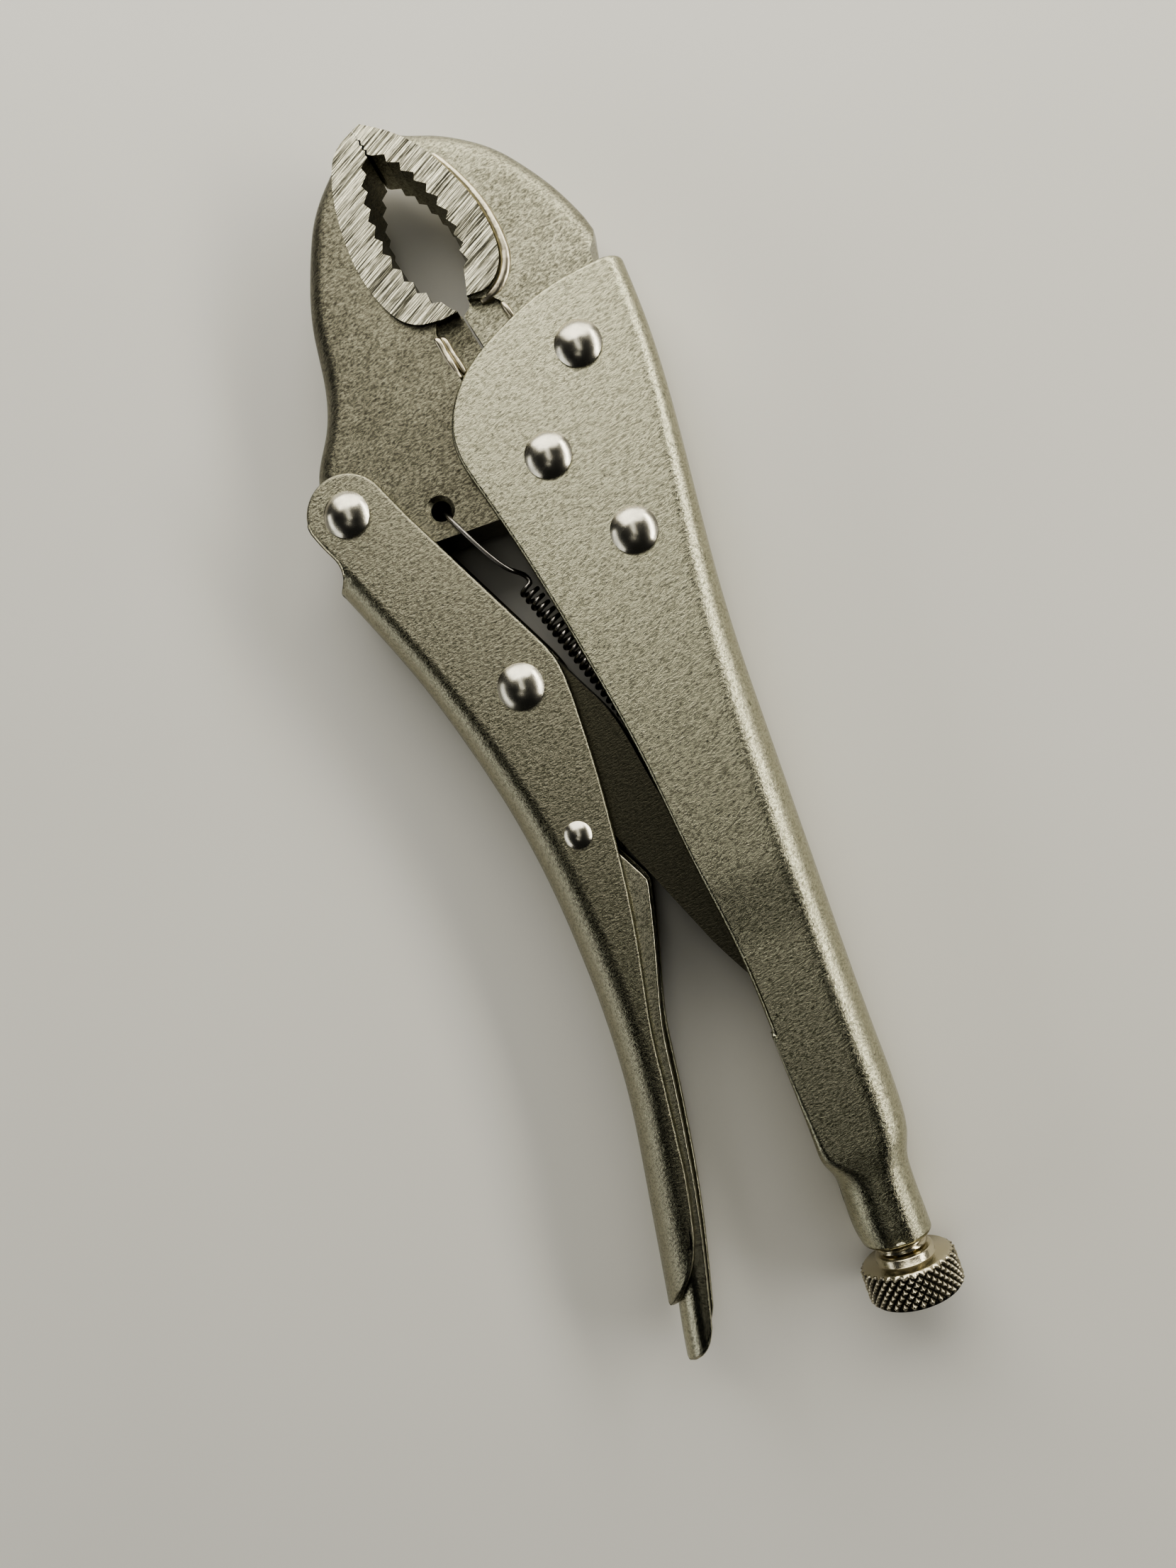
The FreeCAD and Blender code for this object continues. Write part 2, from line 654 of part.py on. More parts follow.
# ---------------------------------------------------------------- release lever
def make_release_lever():
    body = new_body("release_lever")
    half = D["release_half"]
    spine = [(60.0, -27.6, 4.4), (68.0, -26.6, 4.6), (80.0, -25.05, 5.0), (90.0, -24.25, 5.2), (100.0, -23.8, 5.3),
             (110.0, -23.8, 5.3), (120.0, -24.3, 5.3), (130.0, -25.5, 5.3), (140.0, -27.0, 5.3),
             (150.0, -28.5, 5.3), (160.0, -30.2, 5.3), (166.0, -31.3, 5.3), (172.0, -32.2, 5.3)]
    stations = [(x, y, half, corner, "dims.release_half") for x, y, corner in spine]
    channel(body, "channel", stations, -2.0, "release_sheet")
    pivot = (D["release_pivot_x"], D["release_pivot_y"])
    ear = 4.6
    side = path(
        on_circle(pivot, ear, 80),
        ("arc", on_circle(pivot, ear, 180), on_circle(pivot, ear, 268)),
        ("curve", [(73.5, -23.2), (76.5, -25.0), (77.5, -27.0)]),
        (78.0, -40.0),
        (171.3, -40.0),
        (171.3, -31.6),
        ("curve", [(170.3, -28.9), (168.4, -26.5), (165.6, -25.0)]),
        ("curve", [(159.0, -23.4), (149.0, -21.1), (139.0, -19.2), (129.0, -17.7), (119.0, -16.4),
                   (109.0, -15.1), (99.5, -12.8), (90.0, -10.4), (83.2, -8.9)]),
        ("arc", (81.7, -8.75), (80.3, -9.4)),
        (74.6, -12.6),
    )
    keep_inside(body, "side_outline", side, (40.0, -60.0), (190.0, 10.0))
    cut_hole(body, "release_pivot_bore", "release_pivot", "dims.small_rivet_radius + dims.running_clearance")
    return body


# ---------------------------------------------------------------- toggle link
def make_toggle_link():
    body = new_body("toggle_link")
    pivot = (D["link_pivot_x"], D["link_pivot_y"])
    tip = (D["link_tip_x"], D["link_tip_y"])
    length = math.dist(pivot, tip)
    along = ((tip[0] - pivot[0]) / length, (tip[1] - pivot[1]) / length)

    def local(u, v):
        """A point u along the link from its pivot and v to the spine's side of that line."""
        return (pivot[0] + u * along[0] - v * along[1], pivot[1] + u * along[1] + v * along[0])

    heel = 8.3
    nose = 4.5
    centre = length - nose
    outline = path(
        local(0.0, heel),
        ("arc", local(-heel, 0.0), local(0.0, -heel)),
        ("curve", [local(5.0, -7.4), local(11.0, -6.3)]),
        local(60.0, -6.2),
        ("curve", [local(66.0, -5.7), local(centre, -nose)]),
        ("arc", local(length, 0.0), local(centre, nose)),
        local(44.0, nose),
        ("curve", [local(34.0, 5.0), local(25.0, 7.0), local(17.0, 8.7), local(9.0, 8.9)]),
    )
    pad(body, "plate", outline, "2 * dims.link_half")
    pad(body, "pivot_boss", path(local(0.0, 7.0), ("arc", local(-7.0, 0.0), local(0.0, -7.0)),
                                 ("arc", local(7.0, 0.0), local(0.0, 7.0))), "2 * dims.jaw_half")
    cut_hole(body, "link_pivot_bore", "link_pivot", "dims.rivet_radius + dims.running_clearance")
    return body


# ---------------------------------------------------------------- adjusting screw and knob
def revolve_on_screw_axis(body, name, edges):
    sketch = new_sketch(body, name + "_profile", offset=(0, D["screw_axis_y"], 0), bound=[("y", "dims.screw_axis_y")])
    draw(sketch, edges)
    feature = body.newObject("PartDesign::Revolution", name)
    feature.Profile = sketch
    feature.ReferenceAxis = (sketch, ["H_Axis"])
    feature.Angle = 360
    return sketch


def make_adjusting_screw():
    body = new_body("adjusting_screw")
    tip = D["screw_tip_x"]
    major = D["screw_radius"]
    journal = D["journal_radius"]
    collar = D["collar_start_x"]
    profile = path(
        (tip, 0.0),
        (tip, major - 1.6),
        ("arc", (tip + 0.45, major - 0.5), (tip + 1.6, major)),
        (collar - 0.3, major),
        (collar - 0.3, journal),
        (D["knob_end_x"] - 1.6, journal),
        (D["knob_end_x"] - 1.6, 0.0),
    )
    sketch = revolve_on_screw_axis(body, "shank", profile)
    bind_point(sketch, 3, 1, "y", "dims.screw_radius", major)
    bind_point(sketch, 4, 2, "y", "dims.journal_radius", journal)
    return body


def make_adjusting_knob():
    body = new_body("adjusting_knob")
    start = D["knob_start_x"]
    end = D["knob_end_x"]
    radius = D["knob_radius"]
    collar = D["collar_radius"]
    chamfer = D["knob_chamfer"]
    bore = D["journal_radius"] + 0.05
    seat = end - 1.5
    profile = path(
        (D["collar_start_x"], bore),
        (D["collar_start_x"], collar - 0.3),
        (D["collar_start_x"] + 0.3, collar),
        (start, collar),
        (start, radius - chamfer),
        (start + chamfer, radius),
        (end - chamfer, radius),
        (end, radius - chamfer),
        (end, 0.0),
        (seat, 0.0),
        (seat, bore),
    )
    sketch = revolve_on_screw_axis(body, "knob", profile)
    bind_point(sketch, 6, 1, "y", "dims.knob_radius", radius)
    return body


# ---------------------------------------------------------------- rivets
def make_rivet(label, pivot, inner, sheet, size):
    """A rivet with a domed head on each cheek; pivot names its cells, or None at the datum."""
    body = new_body(label)
    shank = D[size["shank"]]
    head = D[size["head"]]
    height = D[size["height"]]
    rim = D["head_rim"]
    cheek = D[inner] + D[sheet]
    bound = []
    offset = (0, 0, 0)
    if pivot:
        bound = [("x", f"dims.{pivot}_x"), ("z", f"-dims.{pivot}_y")]
        offset = (D[pivot + "_x"], 0, -D[pivot + "_y"])
    sketch = new_sketch(body, "profile", "XZ_Plane", offset, bound)
    top = cheek + height
    rise = height - rim
    ball = (head * head + rise * rise) / (2 * rise)
    half_angle = math.asin(head / ball) / 2
    dome = (ball * math.sin(half_angle), top - ball + ball * math.cos(half_angle))
    profile = path(
        (0.0, -top),
        ("arc", (dome[0], -dome[1]), (head, -cheek - rim)),
        (head, -cheek),
        (shank, -cheek),
        (shank, cheek),
        (head, cheek),
        (head, cheek + rim),
        ("arc", dome, (0.0, top)),
    )
    draw(sketch, profile)
    bind_point(sketch, 3, 1, "x", f"dims.{size['shank']}", shank)
    bind_point(sketch, 4, 2, "x", f"dims.{size['head']}", head)
    bind_point(sketch, 3, 2, "y", f"dims.{inner} + dims.{sheet}", cheek)
    feature = body.newObject("PartDesign::Revolution", "rivet")
    feature.Profile = sketch
    feature.ReferenceAxis = (sketch, ["V_Axis"])
    feature.Angle = 360
    return body


# ---------------------------------------------------------------- return spring
def make_return_spring():
    """A tension coil with a long straight hook at each end, as one wire swept along one line.

    Its Shape is built with Part's own functions, because a coil runs straight into its hooks."""
    wire = D["wire_radius"]
    start = Vector(21.0, -12.7, 1.9)
    axis = Vector(57.0, 0.1, 0.8) - start
    along = Vector(axis).normalize()
    height = math.floor(axis.Length / D["coil_pitch"]) * D["coil_pitch"]
    place = Placement(start, Rotation(Vector(0, 0, 1), axis) * Rotation(Vector(0, 0, 1), 180))
    helix = Part.makeHelix(D["coil_pitch"], height, D["coil_radius"])
    helix.Placement = place
    first = place.multVec(Vector(D["coil_radius"], 0, 0))
    last = place.multVec(Vector(D["coil_radius"], 0, height))
    around = Vector(0, 2 * math.pi * D["coil_radius"], D["coil_pitch"])
    tangent = place.Rotation.multVec(around).normalize()

    rise = D["jaw_half"] + wire + 0.06
    hole = Vector(D["spring_hole_x"], D["spring_hole_y"], 0)
    grip = hole + Vector(0.86, 0.5, 0) * (D["spring_hole_radius"] - wire - 0.06)
    front = [grip + Vector(3.4, 2.0, -rise), grip + Vector(0, 0, -rise), grip + Vector(0, 0, rise),
             Vector(16.6, -15.2, rise), first - tangent - along * 1.6, first - tangent * 0.5]
    lug = Vector(D["spring_lug_x"], D["spring_lug_y"], 0) + Vector(-0.4, -0.2, 0)
    rear = [last + tangent * 0.5, last + tangent + along * 1.6, lug + Vector(-2.5, -1.3, 1.8),
            lug + Vector(0, 0, 1.6), lug + Vector(0, 0, -1.7), lug + Vector(-4.0, -2.0, -1.9)]
    lead_in = smooth_line(rounded(front) + [first])
    lead_out = smooth_line([last] + rounded(rear))
    begin = lead_in.valueAt(lead_in.FirstParameter)
    ring = Part.Circle(begin, lead_in.tangentAt(lead_in.FirstParameter), wire).toShape()
    line_of_wire = Part.Wire([lead_in] + helix.Edges + [lead_out])
    feature = doc.addObject("Part::Feature", "return_spring")
    feature.Label = "return_spring"
    feature.Shape = line_of_wire.makePipeShell([Part.Wire([ring])], True, False)
    feature.Placement = Placement(frame_shift(), Rotation())
    return feature


def smooth_line(points):
    spline = Part.BSplineCurve()
    spline.interpolate(points)
    return spline.toShape()


def rounded(points, share=0.25, longest=1.2):
    """The same line with each corner replaced by two points a little before and after it."""
    result = [points[0]]
    for before, here, after in zip(points, points[1:], points[2:]):
        for other in (before, after):
            step = other - here
            step = step * (min(share * step.Length, longest) / step.Length)
            result.append(here + step)
    result.append(points[-1])
    return result


def frame_shift():
    return Vector(D["frame_shift_x"], D["frame_shift_y"], D["frame_shift_z"])


# ---------------------------------------------------------------- build, check and export
BIG_RIVET = {"shank": "rivet_radius", "head": "rivet_head_radius", "height": "rivet_head_height"}
SMALL_RIVET = {"shank": "small_rivet_radius", "head": "small_head_radius", "height": "small_head_height"}
RIVETS = [
    ("fixed_jaw_front_rivet", "front_rivet", "handle_sheet", BIG_RIVET),
    ("fixed_jaw_rear_rivet", "rear_rivet", "handle_sheet", BIG_RIVET),
    ("jaw_pivot_rivet", None, "handle_sheet", BIG_RIVET),
    ("lever_pivot_rivet", "lever_pivot", "lever_sheet", BIG_RIVET),
    ("link_pivot_rivet", "link_pivot", "lever_sheet", BIG_RIVET),
    ("release_lever_rivet", "release_pivot", "lever_sheet", SMALL_RIVET),
]


def build():
    make_sheet()
    doc.recompute()
    parts = [
        make_fixed_jaw(),
        make_moving_jaw(),
        make_fixed_handle(),
        make_lever(),
        make_release_lever(),
        make_toggle_link(),
        make_adjusting_screw(),
        make_adjusting_knob(),
        make_return_spring(),
    ]
    for label, pivot, sheet, size in RIVETS:
        parts.append(make_rivet(label, pivot, "channel_inner_half", sheet, size))
    doc.recompute()
    return parts


def check(parts):
    for item in doc.Objects:
        if "Invalid" in item.State or "Error" in item.State:
            raise RuntimeError(f"{item.Label} failed: {item.State}")
    for part in parts:
        if part.Shape.isNull() or not part.Shape.isValid() or not part.Shape.Solids:
            raise RuntimeError(f"{part.Label} has no valid solid")


def export(parts):
    os.makedirs("parts", exist_ok=True)
    box = FreeCAD.BoundBox()
    for part in parts:
        shape = part.Shape
        box.add(shape.optimalBoundingBox(False))
        shape.exportStep(f"parts/{part.Label}.step")
        print(f"{part.Label:24s} {len(shape.Solids)} solid, {shape.Volume / 1000:8.3f} cm3")
    print(f"box X {box.XMin:.3f} {box.XMax:.3f}  Y {box.YMin:.3f} {box.YMax:.3f}  Z {box.ZMin:.3f} {box.ZMax:.3f}")


PARTS = build()
check(PARTS)
export(PARTS)
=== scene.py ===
"""Locking pliers on a pale table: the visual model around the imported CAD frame.

Shapes are given in millimetres about the jaw pivot's centre, X towards the knob, Y towards the
fixed handle and Z up along the rivets.  at() turns such a point into the part's frame in metres.
"""

import bmesh
import bpy
import math

import numpy as np
from mathutils import Matrix, Vector


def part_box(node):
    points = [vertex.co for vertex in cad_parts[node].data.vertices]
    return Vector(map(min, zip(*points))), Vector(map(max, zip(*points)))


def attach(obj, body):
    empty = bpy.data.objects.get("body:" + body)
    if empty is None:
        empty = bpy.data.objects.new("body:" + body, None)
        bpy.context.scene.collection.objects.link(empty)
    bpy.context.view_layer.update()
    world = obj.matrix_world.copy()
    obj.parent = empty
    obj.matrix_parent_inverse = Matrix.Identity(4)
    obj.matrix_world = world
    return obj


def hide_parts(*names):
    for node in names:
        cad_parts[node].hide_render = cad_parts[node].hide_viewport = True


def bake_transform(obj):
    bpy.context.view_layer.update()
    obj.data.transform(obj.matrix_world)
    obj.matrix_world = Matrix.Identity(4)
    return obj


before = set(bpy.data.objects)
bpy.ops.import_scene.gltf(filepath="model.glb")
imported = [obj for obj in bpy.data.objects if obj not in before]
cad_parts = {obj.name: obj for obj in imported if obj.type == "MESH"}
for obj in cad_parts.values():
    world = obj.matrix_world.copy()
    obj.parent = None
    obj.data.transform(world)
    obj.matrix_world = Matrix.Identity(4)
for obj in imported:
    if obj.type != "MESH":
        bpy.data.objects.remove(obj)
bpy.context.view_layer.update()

MM = 0.001
PIVOT = [(low + high) / 2 for low, high in zip(*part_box("jaw_pivot_rivet"))]


def at(x, y, z=0.0):
    """A point given in millimetres about the pivot, in the part's frame in metres."""
    return (PIVOT[0] + x * MM, PIVOT[1] + y * MM, PIVOT[2] + z * MM)


# ------------------------------------------------------------------ curves through given points
def spline(knots, values):
    """The natural cubic spline through (knots, values), as a function of the knot variable."""
    knots = np.asarray(knots, float)
    values = np.asarray(values, float)
    count = len(knots)
    gaps = np.diff(knots)
    matrix = np.eye(count)
    right = np.zeros(count)
    for i in range(1, count - 1):
        matrix[i, i - 1:i + 2] = gaps[i - 1], 2 * (gaps[i - 1] + gaps[i]), gaps[i]
        right[i] = 6 * ((values[i + 1] - values[i]) / gaps[i] - (values[i] - values[i - 1]) / gaps[i - 1])
    second = np.linalg.solve(matrix, right)

    def value(x):
        i = int(np.clip(np.searchsorted(knots, x) - 1, 0, count - 2))
        h = gaps[i]
        a = (knots[i + 1] - x) / h
        b = (x - knots[i]) / h
        bend = ((a ** 3 - a) * second[i] + (b ** 3 - b) * second[i + 1]) * h * h / 6
        return a * values[i] + b * values[i + 1] + bend

    return value


def smooth(points, spacing=1.0):
    """A smooth line through points, as a list of points about spacing apart."""
    steps = [math.dist(a, b) for a, b in zip(points, points[1:])]
    run = np.concatenate([[0.0], np.cumsum(steps)])
    lines = [spline(run, column) for column in zip(*points)]
    count = max(1, round(run[-1] / spacing))
    return [tuple(line(run[-1] * i / count) for line in lines) for i in range(count + 1)]


def straight(a, b, spacing=1.0):
    """The points of the straight line from a to b, about spacing apart."""
    count = max(1, round(math.dist(a, b) / spacing))
    return [tuple(p + (q - p) * i / count for p, q in zip(a, b)) for i in range(count + 1)]


def round_arc(centre, radius, start, end, spacing=1.0):
    """The points of an arc between two angles in degrees, about spacing apart."""
    count = max(2, round(abs(math.radians(end - start)) * radius / spacing))
    angles = [math.radians(start + (end - start) * i / count) for i in range(count + 1)]
    return [(centre[0] + radius * math.cos(a), centre[1] + radius * math.sin(a)) for a in angles]


def chain(*runs):
    """Runs of points joined end to end, without repeating the points where they meet."""
    result = list(runs[0])
    for run in runs[1:]:
        result += run[1:] if math.dist(result[-1], run[0]) < 0.05 else run
    return result


# ------------------------------------------------------------------ meshes
def mesh_object(name, vertices, faces, material, weld=0.004):
    """A mesh object from points in millimetres, welded, with its normals made consistent."""
    mesh = bpy.data.meshes.new(name)
    mesh.from_pydata([at(*v) for v in vertices], [], faces)
    work = bmesh.new()
    work.from_mesh(mesh)
    bmesh.ops.remove_doubles(work, verts=work.verts, dist=weld * MM)
    bmesh.ops.recalc_face_normals(work, faces=work.faces)
    work.to_mesh(mesh)
    work.free()
    mesh.shade_smooth()
    obj = bpy.data.objects.new(name, mesh)
    bpy.context.scene.collection.objects.link(obj)
    mesh.materials.append(material)
    return obj


def grid_faces(first, rows, columns):
    """The four-sided faces of a grid whose points are numbered row by row from first."""
    faces = []
    for i in range(rows - 1):
        for j in range(columns - 1):
            a = first + i * columns + j
            faces.append((a, a + 1, a + columns + 1, a + columns))
    return faces


class Shell:
    """Gathers the outer skin of a pressed sheet and, point for point, its inner skin."""

    def __init__(self, thickness):
        self.thickness = thickness
        self.pairs = []
        self.faces = []

    def grid(self, rows):
        """Adds a grid, given as rows of (outer point, inner point)."""
        first = len(self.pairs)
        for row in rows:
            self.pairs += row
        self.faces += grid_faces(first, len(rows), len(rows[0]))

    def plate(self, outline, half, sign):
        """Adds a flat cheek with the given outline, half a width from the middle plane."""
        first = len(self.pairs)
        for x, y in outline:
            self.pairs.append(((x, y, sign * half), (x, y, sign * (half - self.thickness(x)))))
        self.faces.append(tuple(range(first, first + len(outline))))

    def closed(self):
        """Vertices and faces of both skins and of the rims that join them."""
        index = {}
        keys = [tuple(round(v, 2) for v in outer) for outer, inner in self.pairs]
        place = [index.setdefault(key, len(index)) for key in keys]
        chosen = {number: pair for number, pair in zip(place, self.pairs)}
        count = len(index)
        outer_faces = []
        for face in self.faces:
            turned = [place[i] for i in face]
            kept = [v for v, before in zip(turned, turned[-1:] + turned[:-1]) if v != before]
            if len(set(kept)) > 2:
                outer_faces.append(kept)
        edges = {}
        for face in outer_faces:
            for a, b in zip(face, face[1:] + face[:1]):
                edges.setdefault((min(a, b), max(a, b)), []).append((a, b))
        rims = [(b, a, a + count, b + count) for uses in edges.values() if len(uses) == 1 for a, b in uses]
        inner_faces = [[v + count for v in reversed(face)] for face in outer_faces]
        vertices = [chosen[i][0] for i in range(count)] + [chosen[i][1] for i in range(count)]
        return vertices, outer_faces + inner_faces + rims


def fold_pair(x, channel, angle, sign=1):
    """Outer and inner point of the fold between cheek (angle 0) and web (angle 90)."""
    spine, corner, half = channel["spine"](x), channel["corner"](x), channel["half"](x)
    centre = spine - channel["side"] * corner
    sine, cosine = math.sin(math.radians(angle)), math.cos(math.radians(angle))
    pair = []
    for inset in (0.0, channel["sheet"](x)):
        reach = corner - inset
        pair.append((x, centre + channel["side"] * reach * sine, sign * (half - corner + reach * cosine)))
    return tuple(pair)


FOLD_STEPS = 9
RIM_SEGMENTS = 3
RIM_ANGLE = 50


def web_row(x, channel, first_angle=0.0):
    """Points from one cheek over the web to the other, at x."""
    angles = [first_angle + (90 - first_angle) * i / FOLD_STEPS for i in range(FOLD_STEPS + 1)]
    upper = [fold_pair(x, channel, a) for a in angles]
    return upper + [fold_pair(x, channel, a, -1) for a in reversed(angles)]


def part_row(x, channel, last_angle, sign):
    """Points of the fold from the cheek up to last_angle, where a free edge trims it."""
    return [fold_pair(x, channel, last_angle * i / FOLD_STEPS, sign) for i in range(FOLD_STEPS + 1)]


def fold_y(x, channel):
    """The height at which the flat cheek ends and the fold begins."""
    return channel["spine"](x) - channel["side"] * channel["corner"](x)


def trim_angle(x, y, channel):
    """The fold angle at which the sheet's outer skin is at y."""
    reach = (y - fold_y(x, channel)) * channel["side"] / channel["corner"](x)
    return math.degrees(math.asin(min(max(reach, 0.0), 1.0)))


def columns(start, end, spacing=1.0):
    """Values from start to end, about spacing apart."""
    count = max(1, round((end - start) / spacing))
    return [start + (end - start) * i / count for i in range(count + 1)]


def finish_sheet(shell, name, rim, material, body, *nodes):
    """Make the sheet, round its rims, and put it on its body."""
    vertices, faces = shell.closed()
    obj = mesh_object(name, vertices, faces, material, 0.0005)
    bevel = obj.modifiers.new("rolled_rim", "BEVEL")
    bevel.width = rim * MM
    bevel.segments = RIM_SEGMENTS
    bevel.limit_method = "ANGLE"
    bevel.angle_limit = math.radians(RIM_ANGLE)
    bevel.use_clamp_overlap = False
    bevel.harden_normals = False
    weights = obj.modifiers.new("weights", "WEIGHTED_NORMAL")
    weights.keep_sharp = True
    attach(obj, body)
    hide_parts(*nodes)
    return obj


# ------------------------------------------------------------------ materials
class Nodes:
    """A small helper that builds one material's node tree."""

    def __init__(self, name):
        self.material = bpy.data.materials.new(name)
        self.material.use_nodes = True
        self.tree = self.material.node_tree
        self.shader = self.tree.nodes["Principled BSDF"]
        self.place = self.add("ShaderNodeTexCoord").outputs["Object"]

    def add(self, kind):
        return self.tree.nodes.new(kind)

    def link(self, source, target):
        self.tree.links.new(source, target)

    def noise(self, scale, detail=2.0, roughness=0.5, place=None):
        node = self.add("ShaderNodeTexNoise")
        node.inputs["Scale"].default_value = scale
        node.inputs["Detail"].default_value = detail
        node.inputs["Roughness"].default_value = roughness
        self.link(place or self.place, node.inputs["Vector"])
        return node.outputs["Fac"]

    def stretched(self, scale, turn=0.0):
        """Object coordinates turned about Z and scaled by three factors."""
        turned = self.add("ShaderNodeMapping")
        turned.inputs["Rotation"].default_value = (0, 0, math.radians(turn))
        self.link(self.place, turned.inputs["Vector"])
        node = self.add("ShaderNodeMapping")
        node.inputs["Scale"].default_value = scale
        self.link(turned.outputs["Vector"], node.inputs["Vector"])
        return node.outputs["Vector"]

    def ramp(self, source, low, high, from_value, to_value):
        """source between low and high, turned into from_value to to_value."""
        node = self.add("ShaderNodeMapRange")
        node.inputs["From Min"].default_value = low
        node.inputs["From Max"].default_value = high
        node.inputs["To Min"].default_value = from_value
        node.inputs["To Max"].default_value = to_value
        self.link(source, node.inputs["Value"])
        return node.outputs["Result"]

    def blend(self, factor, low, high):
        """Mix of two colours, or of two sockets, by factor."""
        node = self.add("ShaderNodeMix")
        node.data_type = "RGBA"
        self.link(factor, node.inputs["Factor"])
        for socket, value in (("A", low), ("B", high)):
            target = next(i for i in node.inputs if i.name == socket and i.type == "RGBA")
            if isinstance(value, tuple):
                target.default_value = (*value, 1.0)
            else:
                self.link(value, target)
        return next(o for o in node.outputs if o.type == "RGBA")

    def maths(self, operation, a, b):
        node = self.add("ShaderNodeMath")
        node.operation = operation
        for socket, value in zip(node.inputs, (a, b)):
            if isinstance(value, (int, float)):
                socket.default_value = value
            else:
                self.link(value, socket)
        return node.outputs["Value"]

    def bump(self, height, strength, distance, under=None):
        node = self.add("ShaderNodeBump")
        node.inputs["Strength"].default_value = strength
        node.inputs["Distance"].default_value = distance
        self.link(height, node.inputs["Height"])
        if under is not None:
            self.link(under, node.inputs["Normal"])
        return node.outputs["Normal"]


def nickel(name, light=(0.50, 0.485, 0.36), dark=(0.10, 0.095, 0.065), grain=0.85, roughness=0.14,
           cloud=0.75):
    """Satin nickel plate over blasted sheet: slanted orange peel, pits and cloudy stains."""
    n = Nodes(name)
    stain = n.ramp(n.noise(34.0, 4.0, 0.55), 0.50, 0.74, 0.0, 1.0)
    pits = n.ramp(n.noise(620.0, 3.0, 0.7), 0.64, 0.72, 0.0, 1.0)
    peel = n.noise(1.0, 4.0, 0.72, n.stretched((1100.0, 2400.0, 1800.0), GRAIN_TURN))
    dots = n.maths("MULTIPLY", n.maths("ADD", n.maths("MULTIPLY", stain, cloud), 0.16), pits)
    shade = n.maths("ADD", dots, n.ramp(peel, 0.46, 0.74, 0.0, 0.75))
    n.link(n.blend(n.maths("MINIMUM", shade, 1.0), light, dark), n.shader.inputs["Base Color"])
    fine = n.noise(6000.0, 1.0, 0.5)
    height = n.maths("SUBTRACT", n.maths("MULTIPLY", fine, 0.25), peel)
    n.link(n.bump(height, grain, 0.00015), n.shader.inputs["Normal"])
    n.link(n.ramp(stain, 0.0, 1.0, roughness, roughness + 0.10), n.shader.inputs["Roughness"])
    n.shader.inputs["Metallic"].default_value = 1.0
    return n.material


def jaw_metal(name, light, dark):
    """The forging's nickel plate, with bright milling marks on the ground faces round the mouth."""
    n = Nodes(name)
    separate = n.add("ShaderNodeSeparateXYZ")
    n.link(n.place, separate.inputs["Vector"])
    from_middle = n.maths("ABSOLUTE", n.maths("SUBTRACT", separate.outputs["Z"], PIVOT[2]), 0.0)
    ground = n.ramp(from_middle, *PAD_FACE, 0.0, 1.0)
    plated = n.ramp(ground, 0.0, 1.0, 1.0, 0.0)
    stain = n.ramp(n.noise(48.0, 4.0, 0.6), 0.42, 0.72, 0.0, 1.0)
    peel = n.noise(1.0, 4.0, 0.75, n.stretched((1200.0, 2500.0, 1900.0), GRAIN_TURN))
    shade = n.maths("ADD", n.maths("MULTIPLY", stain, 0.35), n.ramp(peel, 0.42, 0.68, 0.0, 0.9))
    plate = n.blend(n.maths("MINIMUM", shade, 1.0), light, dark)
    marks = n.noise(1.0, 3.0, 0.75, n.stretched((90.0, 3400.0, 90.0), MILLING_TURN))
    shine = n.blend(n.ramp(marks, 0.41, 0.60, 0.0, 1.0), (0.055, 0.052, 0.038), (0.74, 0.71, 0.56))
    n.link(n.blend(ground, plate, shine), n.shader.inputs["Base Color"])
    height = n.maths("SUBTRACT", n.maths("MULTIPLY", marks, ground), n.maths("MULTIPLY", peel, plated))
    n.link(n.bump(height, 0.9, 0.00016), n.shader.inputs["Normal"])
    n.link(n.ramp(ground, 0.0, 1.0, 0.20, 0.26), n.shader.inputs["Roughness"])
    n.shader.inputs["Metallic"].default_value = 1.0
    return n.material


def polished(name, colour=(0.72, 0.68, 0.58), roughness=0.07, wave=0.08):
    """Bright nickel of the rivet heads, with the soft dents that setting leaves."""
    n = Nodes(name)
    smear = n.noise(400.0, 3.0, 0.6)
    n.link(n.blend(n.ramp(smear, 0.4, 0.7, 0.0, 1.0), colour, tuple(c * 0.86 for c in colour)),
           n.shader.inputs["Base Color"])
    n.link(n.bump(n.noise(500.0, 2.0, 0.5), wave, 0.0004), n.shader.inputs["Normal"])
    n.link(n.ramp(smear, 0.3, 0.8, roughness, roughness + 0.10), n.shader.inputs["Roughness"])
    n.shader.inputs["Metallic"].default_value = 1.0
    return n.material


